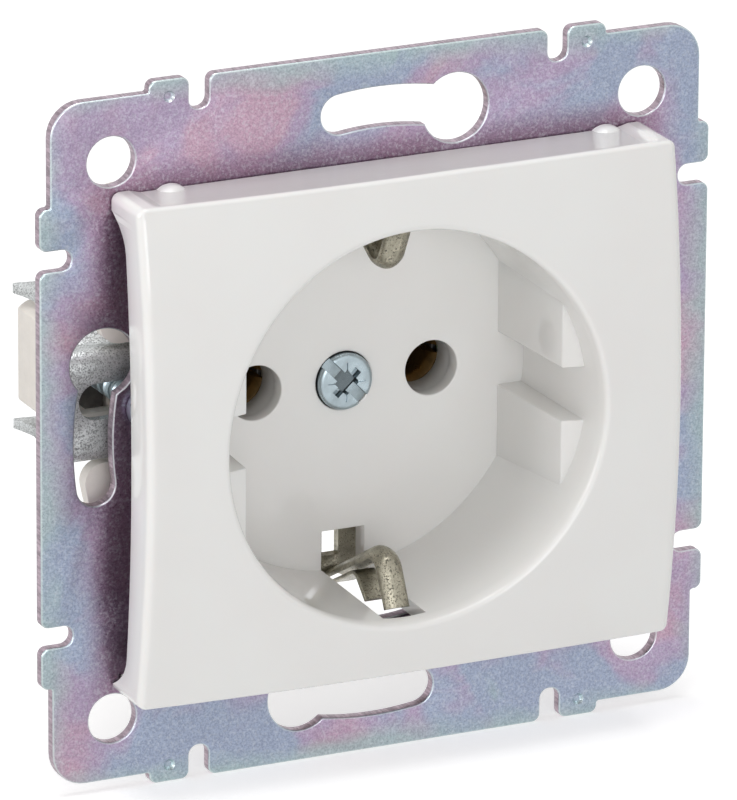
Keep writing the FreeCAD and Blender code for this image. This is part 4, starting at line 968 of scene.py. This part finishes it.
def cover_shell(settings):
    """Closed mesh of skirt, bulged face, rolled rim and well wall, made column by column."""
    vertices, rings = [], []
    wall, face_wall, rim = settings.wall, settings.face_wall, settings.rim_round
    mouth, floor_y = settings.mouth_radius, settings.floor_depth
    slope = (mouth - settings.floor_radius) / (floor_y + settings.crown)
    soften = 0.18
    edge_steps, face_steps, rim_steps, well_steps, inner_steps = 6, 21, 10, 14, 5
    tube = settings.floor_radius + settings.well_wall
    tube_front = mouth + settings.well_wall
    tube_rear = floor_y + 1.2

    def bore(y):
        """Radius of the drafted well at a depth."""
        return mouth - slope * (y + settings.crown)

    for (bx, bz), (nx, nz) in edge_line(settings):
        ring = []

        def put(x, y, z):
            """Add a point to the column."""
            ring.append(len(vertices))
            vertices.append((x, y, z))

        def at(inset, y):
            """Add a point at a distance inside the outline."""
            put(bx - nx * inset, y, bz - nz * inset)

        level = abs(nz) > 0.999
        upright = abs(nx) > 0.999
        rear = skirt_edge(bz) if upright else WALL_REAR
        flat = 0.3 * recess_share(bx) if level else 0.0
        edge = settings.edge_round + (settings.side_round - settings.edge_round) * nx ** 2
        ridge = face_depth(settings, bx - nx * edge, bz - nz * edge)
        lip = ridge + edge + 0.35

        # inner side of the skirt, then round its rear edge and up the outside
        at(wall, ridge + face_wall)
        at(wall, rear - soften)
        at(wall - soften, rear)
        at(flat + soften, rear)
        at(flat + soften * 0.3, rear - soften * 0.3)
        at(flat, rear - soften)
        at(flat, min(lip + 0.45, rear - 2 * soften))
        at(0.0, min(lip, rear - 2.4 * soften))
        for k in range(edge_steps + 1):
            a = math.pi / 2 * k / edge_steps
            at(edge * (1 - math.cos(a)), ridge + edge * (1 - math.sin(a)))

        # across the face to the rim
        bearing = math.atan2(bz, bx)
        ux, uz = math.cos(bearing), math.sin(bearing)
        ox, oz = bx - nx * edge, bz - nz * edge
        ix, iz = (mouth + rim) * ux, (mouth + rim) * uz
        for k in range(1, face_steps + 1):
            t = k / face_steps
            x, z = ox + (ix - ox) * t, oz + (iz - oz) * t
            put(x, face_depth(settings, x, z), z)

        # over the rim and down the well
        rim_y = face_depth(settings, ix, iz)
        for k in range(1, rim_steps + 1):
            a = math.pi / 2 * k / rim_steps
            y = rim_y + rim * (1 - math.cos(a))
            radius = bore(y) if k == rim_steps else mouth + rim * (1 - math.sin(a))
            put(radius * ux, y, radius * uz)
        start = rim_y + rim
        for k in range(1, well_steps + 1):
            y = start + (floor_y - start) * k / well_steps
            put(bore(y) * ux, y, bore(y) * uz)

        # round the rear of the well wall, back up and along the inside of the face
        put(bore(floor_y) * ux, tube_rear, bore(floor_y) * uz)
        put((tube - 0.3) * ux, tube_rear + 0.8, (tube - 0.3) * uz)
        put(tube * ux, tube_rear + 0.5, tube * uz)
        sx, sz = tube_front * ux, tube_front * uz
        put(sx, rim_y + face_wall + 0.4, sz)
        ex, ez = bx - nx * wall, bz - nz * wall
        for k in range(inner_steps):
            t = k / inner_steps
            x, z = sx + (ex - sx) * t, sz + (ez - sz) * t
            put(x, face_depth(settings, x, z) + face_wall, z)
        rings.append(ring)
    faces = []
    for i, ring in enumerate(rings):
        faces += band(ring, rings[(i + 1) % len(rings)])
    return recalculated(mesh_of(vertices, faces), 0.0002)


def guide_pad(settings, reach):
    """Right-hand pad above the guide channel; reach is how far out it stands at the front."""
    front, rear = -6.05, settings.floor_depth + 0.6
    low, limit = settings.channel, settings.mouth_radius + 0.65
    draft, front_fall, arc_steps = 0.8, 0.26, 16
    vertices, rings = [], []
    for at_rear in (False, True):
        lip = reach - draft if at_rear else reach
        top = math.sqrt(limit ** 2 - lip ** 2)
        loop = [(lip, low), (lip, top)]
        first, last = math.atan2(top, lip), math.asin(low / limit)
        for k in range(1, arc_steps + 1):
            a = first + (last - first) * k / arc_steps
            loop.append((limit * math.cos(a), limit * math.sin(a)))
        rings.append(range(len(vertices), len(vertices) + len(loop)))
        vertices += [(x, rear if at_rear else front - (x - reach) * front_fall, z)
                     for x, z in loop]
    faces = band(rings[0], rings[1]) + [tuple(rings[0][::-1]), tuple(rings[1])]
    return bevelled(recalculated(mesh_of(vertices, faces)), 0.16, 3, 40.0)


def well_floor(settings):
    """Floor of the well with pin holes and their tubes, screw hole and earth windows."""
    radius, half, near = settings.floor_radius + 0.5, settings.window, 15.4
    rise = math.sqrt(radius ** 2 - half ** 2)
    start, arc_steps = math.asin(half / radius), 120
    outline = []
    for sign in (1, -1):
        outline += [(sign * half, sign * rise), (sign * half, sign * near),
                    (-sign * half, sign * near), (-sign * half, sign * rise)]
        for k in range(1, arc_steps):
            a = math.pi / 2 + start + (math.pi - 2 * start) * k / arc_steps
            outline.append((sign * radius * math.cos(a), sign * radius * math.sin(a)))
    pin, screw_hole = settings.pin_radius, 3.0
    holes = [circle_loop(side * PIN_REACH, 0.0, pin, 96) for side in (-1, 1)]
    holes.append(circle_loop(0.0, 0.0, screw_hole, 96))
    rear = settings.floor_depth + settings.face_wall
    floor = stamping(outline, holes, settings.floor_depth, rear, 0.14, 0.1)
    tube_wall, tube_front, tube_rear, soften = 0.8, rear - 0.3, rear + 2.7, 0.2
    rows = [(pin, tube_front), (pin, tube_rear - soften), (pin + 0.15, tube_rear),
            (pin + tube_wall - soften, tube_rear), (pin + tube_wall, tube_rear - soften),
            (pin + tube_wall, tube_front), (pin, tube_front)]
    tubes = [turned_profile(rows, (side * PIN_REACH, 0.0)) for side in (-1, 1)]
    return joined([floor] + tubes)


def gusset_mesh(settings):
    """Ribs between the well and the corners of the skirt, in pairs about each diagonal."""
    near, inset, half = settings.mouth_radius + 0.75, 0.8, 0.5
    front, rear = -8.2, -4.4
    ribs = []
    for quarter in (0, 1, 2, 3):
        for spread in (-7.0, 7.0):
            a = math.radians(45.0 + 90.0 * quarter + spread)
            far = min((settings.half_width - inset) / abs(math.cos(a)),
                      (settings.half_height - inset) / abs(math.sin(a)))
            rib = box_mesh(near, far, front, rear, -half, half)
            rib.transform(Matrix.Rotation(-a, 4, "Y"))
            ribs.append(rib)
    return joined(ribs)


class SOCKET_OT_cover(bpy.types.Operator):
    """Mould the front cover with its plug well"""

    bl_idname = "socket.cover"
    bl_label = "Front cover"

    def execute(self, context):
        settings = context.scene.socket_cover
        finish = glossy_moulding(settings)
        half, window_rise, window_half = settings.window, 19.4, 4.0
        windows = [box_mesh(-half, half, -7.6, 12.0, z - window_half, z + window_half)
                   for z in (-window_rise, window_rise)]
        shell = carved(cover_shell(settings), windows)
        right_reach, left_reach = 17.5, 16.25
        right, left = guide_pad(settings, right_reach), guide_pad(settings, left_reach)
        left = mirrored_mesh(left, 0)
        pads = [right, mirrored_mesh(right, 2), left, mirrored_mesh(left, 2)]
        rib_places = [(x, WALL_REAR - 0.3, side * 23.2) for x in (-22.3, 24.1) for side in (-1, 1)]
        ribs = rib_tree().made(rib_places, finish, Radius=2.25, Length=0.5)
        mesh = joined([shell, well_floor(settings), gusset_mesh(settings)] + pads + [ribs])
        finished(mesh, "cover_moulding", ROOT, finish, ["front_cover"], 38.0)
        return {"FINISHED"}


# Screws

def recess_cutters(top, turn, scale, centre=(0.0, 0.0)):
    """Slot, cross, square heart and four ticks, sunk along Y from the top of a head."""
    slot_half, arm, heart, depth = 0.575 * scale, 0.42 * scale, 0.95 * scale, 0.9 * scale
    slot_reach, arm_reach, before = 4 * scale, 1.7 * scale, top - 1
    blocks = [box_mesh(-slot_reach, slot_reach, before, top + depth, -slot_half, slot_half),
              box_mesh(-arm, arm, before, top + depth * 0.98, -arm_reach, arm_reach),
              box_mesh(-heart, heart, before, top + depth * 1.3, -heart, heart)]
    for quarter in range(4):
        tick = box_mesh(1.2 * scale, 2.0 * scale, before, top + 0.22 * scale, -0.07, 0.07)
        tick.transform(Matrix.Rotation(math.radians(45 + 90 * quarter), 4, "Y"))
        blocks.append(tick)
    for block in blocks:
        block.transform(Matrix.Rotation(math.radians(turn), 4, "Y"))
        block.transform(Matrix.Translation(Vector((centre[0], 0.0, centre[1])) * MM))
    return blocks


def pan_profile(top, under, radius, shank, tip, dome=0.25):
    """(radius, y) rows of a pan screw whose head faces the front."""
    steps, crown, shoulder = 6, 0.82, top + dome * 0.4
    roll, soften, point = 0.42, 0.12, 0.35
    rows = [(0.0, top)]
    for k in range(1, steps + 1):
        rows.append((radius * crown * k / steps, top + (shoulder - top) * (k / steps) ** 2))
    for k in range(1, steps + 1):
        a = math.pi / 2 * k / steps
        rows.append((radius * (crown + (1 - crown) * math.sin(a)),
                     shoulder + roll * (1 - math.cos(a))))
    rows += [(radius, under - soften), (radius - soften, under), (shank, under),
             (shank, tip - point), (shank - point, tip), (0.0, tip)]
    return rows


class SOCKET_OT_cover_screw(bpy.types.Operator):
    """Turn the screw in the middle of the well"""

    bl_idname = "socket.cover_screw"
    bl_label = "Cover screw"

    def execute(self, context):
        metal = context.scene.socket_metal
        top, under, radius, shank, tip = 5.8, 7.4, 2.9, 1.72, 15.4
        body = turned_profile(pan_profile(top, under, radius, shank, tip), steps=128)
        mesh = bevelled(carved(body, recess_cutters(top, 46.6, 1.0)), 0.05, 2, 40.0)
        # the head's recess below sunk gets painted shade
        finish = bright_metal("bluish screw zinc", metal.screw, 0.27, 0.2, dark=0.62,
                              sunk=top + 0.35)
        finished(mesh, "cover_screw_turned", ROOT, finish, ["cover_screw"])
        return {"FINISHED"}


class SOCKET_OT_claw_screws(bpy.types.Operator):
    """Turn the two claw screws and cut their threads"""

    bl_idname = "socket.claw_screws"
    bl_label = "Claw screws"

    def execute(self, context):
        metal = context.scene.socket_metal
        finish = bright_metal("claw screw zinc", metal.screw, 0.33, 0.2, dark=0.6)
        top, under, radius, shank, tip = -2.75, -1.25, 2.1, 1.28, 17.0
        thread_start, thread_length, ridge = -0.7, 17.4, 0.21
        for side, sign in (("left", -1), ("right", 1)):
            x, z = sign * CLAW_SCREW_REACH, -sign * CLAW_SCREW_RISE
            body = turned_profile(pan_profile(top, under, radius, shank, tip), (x, z), 64)
            body = carved(body, recess_cutters(top, 30.0, 0.8, (x, z)))
            thread = thread_tree().made([(x, thread_start, z)], finish, Radius=shank,
                                        Pitch=metal.thread_pitch,
                                        Turns=thread_length / metal.thread_pitch, Ridge=ridge)
            finished(joined([body, thread]), side + "_claw_screw_turned",
                     side + "_claw_screw_body", finish,
                     [side + "_claw_screw"], 40.0)
        return {"FINISHED"}


class SOCKET_OT_rivets(bpy.types.Operator):
    """Set the rivets that hold the base to the plate"""

    bl_idname = "socket.rivets"
    bl_label = "Rivets"

    def execute(self, context):
        finish = bright_metal("rivet zinc", context.scene.socket_metal.rivet, 0.36, 0.3)
        plate_front = -context.scene.socket_plate.thickness
        places = [(sx * RIVET_REACH, sz * RIVET_RISE) for sx in (-1, 1) for sz in (-1, 1)]
        front = rivet_tree().made([(x, plate_front, z) for x, z in places], finish,
                                  Radius=2.2, Height=0.7)
        rolled = [(1.3, 0.0), (1.3, 3.8), (1.87, 3.8), (1.87, 4.1), (1.6, 4.42), (1.2, 4.5),
                  (0.85, 4.3), (0.72, 4.0), (0.72, 0.6), (0.0, 0.6)]
        mesh = joined([front] + [turned_profile(rolled, place, 48) for place in places])
        finished(mesh, "base_rivets_set", ROOT, finish,
                 ["lower_left_rivet", "upper_left_rivet", "lower_right_rivet", "upper_right_rivet"])
        return {"FINISHED"}


class SOCKET_OT_terminals(bpy.types.Operator):
    """Finish the terminal screws and clamp plates"""

    bl_idname = "socket.terminals"
    bl_label = "Terminal screws"

    def execute(self, context):
        metal = context.scene.socket_metal
        zinc = bright_metal("terminal zinc", metal.terminal, 0.34, 0.25)
        steel = bright_metal("clamp steel", metal.spring, 0.38, 0.3, (0.2, 1.0, 1.0))
        for name in ("line", "neutral", "earth"):
            rounded_copy(name + "_terminal_screw", name + "_terminal_screw_cut", ROOT, zinc,
                         0.06)
            rounded_copy(name + "_clamp_plate", name + "_clamp_plate_cut", ROOT, steel,
                         0.06)
        return {"FINISHED"}


# Base and contacts

class SOCKET_OT_base(bpy.types.Operator):
    """Mould the insulating base and its retaining plate"""

    bl_idname = "socket.base"
    bl_label = "Base"

    def execute(self, context):
        settings = context.scene.socket_base
        finish = matt_moulding(settings)
        for name in ("socket_base", "contact_retainer"):
            rounded_copy(name, name + "_moulding", ROOT, finish,
                         settings.edge_round * 0.5)
        return {"FINISHED"}


class SOCKET_OT_earth_strap(bpy.types.Operator):
    """Bend the earth strip with its two sprung contacts"""

    bl_idname = "socket.earth_strap"
    bl_label = "Earth strip"

    def execute(self, context):
        metal = context.scene.socket_metal
        finish = bright_metal("dull nickel", metal.nickel, 0.30, 0.4, (1.0, 0.5, 0.5), 0.45, pits=0.6,
                              pit_size=0.2, pit_share=0.54)
        hook = rounded_path([(10.2, 19.1), (10.4, 22.05), (-3.25, 14.72), (-5.78, 19.6)],
                            [1.3, 1.7])
        tongue = swept_strip(hook, metal.contact_width, metal.contact_thickness, 0.16, 0.95)
        behind = rounded_path([(6.4, 20.62), (1.4, 17.94), (-1.1, 20.2)], [1.2])
        leaf = swept_strip(behind, metal.contact_width - 0.2, 0.4, 0.14)
        # the packed strap keeps its middle; its plain contacts make room for the swept ones
        half, far = 2.0, 26.0
        cuts = []
        for sign in (-1, 1):
            cuts.append(box_mesh(-half, half, -9.0, 9.58, *sorted((sign * 11.0, sign * far))))
            cuts.append(box_mesh(-half, half, 9.0, 12.0, *sorted((sign * 20.65, sign * far))))
        strap = carved(cad_copy("earth_strap"), cuts)
        mesh = joined([strap, tongue, leaf, mirrored_mesh(tongue, 2), mirrored_mesh(leaf, 2)])
        finished(mesh, "earth_strip_bent", ROOT, finish, ["earth_strap"])
        return {"FINISHED"}


class SOCKET_OT_live_contacts(bpy.types.Operator):
    """Finish the contact sleeves and their clips"""

    bl_idname = "socket.live_contacts"
    bl_label = "Contact sleeves"

    def execute(self, context):
        metal = context.scene.socket_metal
        # dark brass: painted shade for the inside of the pin holes
        shaded_brass = bright_metal("contact brass", metal.shaded_brass, 0.3, 0.3, (1.0, 0.25, 1.0), 0.5)
        steel = bright_metal("clip steel", metal.spring, 0.36, 0.3)
        for name in ("line", "neutral"):
            rounded_copy(name + "_contact", name + "_contact_formed", ROOT, shaded_brass,
                         0.08)
            rounded_copy(name + "_contact_spring", name + "_clip_formed", ROOT, steel,
                         0.06)
        return {"FINISHED"}


class SOCKET_OT_claws(bpy.types.Operator):
    """Form the two claws and their nut bars"""

    bl_idname = "socket.claws"
    bl_label = "Claws"

    def execute(self, context):
        metal = context.scene.socket_metal
        finish = bright_metal("matt grey zinc", metal.claw, 0.44, 0.3, (1.0, 1.0, 0.6), 0.72, 0.9,
                              pits=0.5, pit_size=0.17, pit_share=0.50)
        # nearly black nut steel, partly painted shade for the cavity behind the claw window
        dark = bright_metal("dark nut steel", metal.nut, 0.4, 0.3)
        # the notch lets the cream base show over the web, at the top of the left keyhole
        notch_across, notch_up, notch_deep = (27.6, 34.0), (8.45, 10.2), (0.5, 4.0)
        for side, sign in (("left", -1), ("right", 1)):
            notch = box_mesh(*sorted(sign * x for x in notch_across), *notch_deep,
                             *sorted(-sign * z for z in notch_up))
            claw = bevelled(carved(cad_copy(side + "_claw"), [notch]), 0.1, 2, 40.0)
            finished(claw, side + "_claw_formed", side + "_claw_body", finish,
                     [side + "_claw"])
            rounded_copy(side + "_claw_nut", side + "_claw_nut_cut", side + "_claw_nut_body", dark,
                         0.1)
        return {"FINISHED"}


# Stage

def area_light(name, place, size, power, tint=(1.0, 1.0, 1.0)):
    """Soft square lamp at a place in mm that looks at the origin."""
    lamp = bpy.data.lights.new(name, "AREA")
    lamp.shape = "RECTANGLE"
    lamp.size, lamp.size_y = size * MM, size * MM
    lamp.energy = power
    lamp.color = tint
    holder = loose(lamp, name)
    holder.location = Vector(place) * MM
    holder.rotation_mode = "QUATERNION"
    holder.rotation_quaternion = (-Vector(place)).normalized().to_track_quat("-Z", "Y")


def pale_surround(level):
    """White for the camera and for gloss, a plain level for everything else."""
    world = bpy.data.worlds.new("surround")
    bpy.context.scene.world = world
    world.use_nodes = True
    tree = world.node_tree
    tree.nodes.clear()
    path = node(tree, "ShaderNodeLightPath")
    shows = node(tree, "ShaderNodeMath", {"operation": "MAXIMUM"},
                 i0=path.outputs["Is Camera Ray"], i1=path.outputs["Is Transmission Ray"])
    shows = node(tree, "ShaderNodeMath", {"operation": "MAXIMUM"},
                 i0=shows.outputs[0], i1=path.outputs["Is Glossy Ray"])
    strength = node(tree, "ShaderNodeMapRange", Value=shows.outputs[0], To_Min=level, To_Max=1.0)
    back = node(tree, "ShaderNodeBackground", Color=(1.0, 1.0, 1.0, 1.0),
                Strength=strength.outputs["Result"])
    out = node(tree, "ShaderNodeOutputWorld")
    tree.links.new(back.outputs[0], out.inputs["Surface"])


def pale_floor():
    """Floor that reads white to the camera and still takes a shadow."""
    material = bpy.data.materials.new("pale floor")
    material.use_nodes = True
    tree = material.node_tree
    tree.nodes.clear()
    path = node(tree, "ShaderNodeLightPath")
    lit = node(tree, "ShaderNodeBsdfDiffuse", Color=(0.8, 0.8, 0.8, 1.0))
    lift = node(tree, "ShaderNodeMath", {"operation": "MULTIPLY"},
                i0=path.outputs["Is Camera Ray"], i1=0.5)
    glow = node(tree, "ShaderNodeEmission", Color=(1.0, 1.0, 1.0, 1.0), Strength=lift.outputs[0])
    seen = node(tree, "ShaderNodeAddShader", i0=lit.outputs[0], i1=glow.outputs[0])
    white = node(tree, "ShaderNodeEmission", Color=(1.0, 1.0, 1.0, 1.0), Strength=1.0)
    both = node(tree, "ShaderNodeMixShader", i0=path.outputs["Is Glossy Ray"], i1=seen.outputs[0],
                i2=white.outputs[0])
    out = node(tree, "ShaderNodeOutputMaterial")
    tree.links.new(both.outputs[0], out.inputs["Surface"])
    return material


class SOCKET_OT_stage(bpy.types.Operator):
    """Set the floor, the lights and the camera"""

    bl_idname = "socket.stage"
    bl_label = "Stage"

    def execute(self, context):
        settings = context.scene.socket_stage
        far = 2500.0
        corners = [(-far, -far), (far, -far), (far, far), (-far, far)]
        floor = mesh_of([(x, y, FLOOR_LEVEL) for x, y in corners], [(0, 1, 2, 3)], "floor")
        floor.materials.append(pale_floor())
        loose(floor, "floor")
        pale_surround(settings.world_level)
        area_light("key", (-230.0, -1010.0, 110.0), 600.0, settings.key_power, (0.97, 0.985, 1.0))
        area_light("top", (-60.0, -30.0, 700.0), 420.0, settings.top_power)
        area_light("side", (-780.0, -70.0, 160.0), 360.0, settings.side_power)
        yaw, pitch, roll = settings.camera_yaw, settings.camera_pitch, settings.camera_roll
        back = Vector((math.sin(yaw) * math.cos(pitch), -math.cos(yaw) * math.cos(pitch),
                       math.sin(pitch)))
        lens = bpy.data.cameras.new("camera")
        lens.sensor_width = 36.0
        lens.lens = settings.lens
        lens.clip_start, lens.clip_end = 0.05, 20.0
        camera = loose(lens, "camera")
        target = Vector((-1.01, -1.2, 0.54)) * MM
        camera.location = target + back * settings.distance * MM
        facing = (-back).to_track_quat("-Z", "Y").to_matrix()
        camera.rotation_euler = (facing @ Matrix.Rotation(roll, 3, "Z")).to_euler()
        context.scene.camera = camera
        context.scene.view_settings.view_transform = "Standard"
        return {"FINISHED"}


PIECES = (SOCKET_OT_plate, SOCKET_OT_cover, SOCKET_OT_cover_screw, SOCKET_OT_base,
          SOCKET_OT_earth_strap, SOCKET_OT_live_contacts, SOCKET_OT_terminals, SOCKET_OT_claws,
          SOCKET_OT_claw_screws, SOCKET_OT_rivets, SOCKET_OT_stage)
SETTINGS = {"socket_plate": SocketPlateSettings, "socket_cover": SocketCoverSettings,
            "socket_base": SocketBaseSettings, "socket_metal": SocketMetalSettings,
            "socket_stage": SocketStageSettings}


class SOCKET_PT_panel(bpy.types.Panel):
    """Lists the socket's pieces and their settings"""

    bl_label = "Wall socket"
    bl_idname = "SOCKET_PT_panel"
    bl_space_type = "VIEW_3D"
    bl_region_type = "UI"
    bl_category = "Socket"

    def draw(self, context):
        for piece in PIECES:
            self.layout.operator(piece.bl_idname)
        for name, group in SETTINGS.items():
            box = self.layout.box()
            box.label(text=group.__doc__)
            for field in group.__annotations__:
                box.prop(getattr(context.scene, name), field)


def register():
    """Register the settings, the operators and the panel."""
    for name, group in SETTINGS.items():
        bpy.utils.register_class(group)
        setattr(bpy.types.Scene, name, bpy.props.PointerProperty(type=group))
    for piece in PIECES + (SOCKET_PT_panel,):
        bpy.utils.register_class(piece)


def unregister():
    """Take them away again."""
    for piece in (SOCKET_PT_panel,) + PIECES[::-1]:
        bpy.utils.unregister_class(piece)
    for name, group in SETTINGS.items():
        delattr(bpy.types.Scene, name)
        bpy.utils.unregister_class(group)


def main():
    """Register the settings and build every piece."""
    register()
    for piece in PIECES:
        family, name = piece.bl_idname.split(".")
        getattr(getattr(bpy.ops, family), name)()


if __name__ == "__main__":
    main()
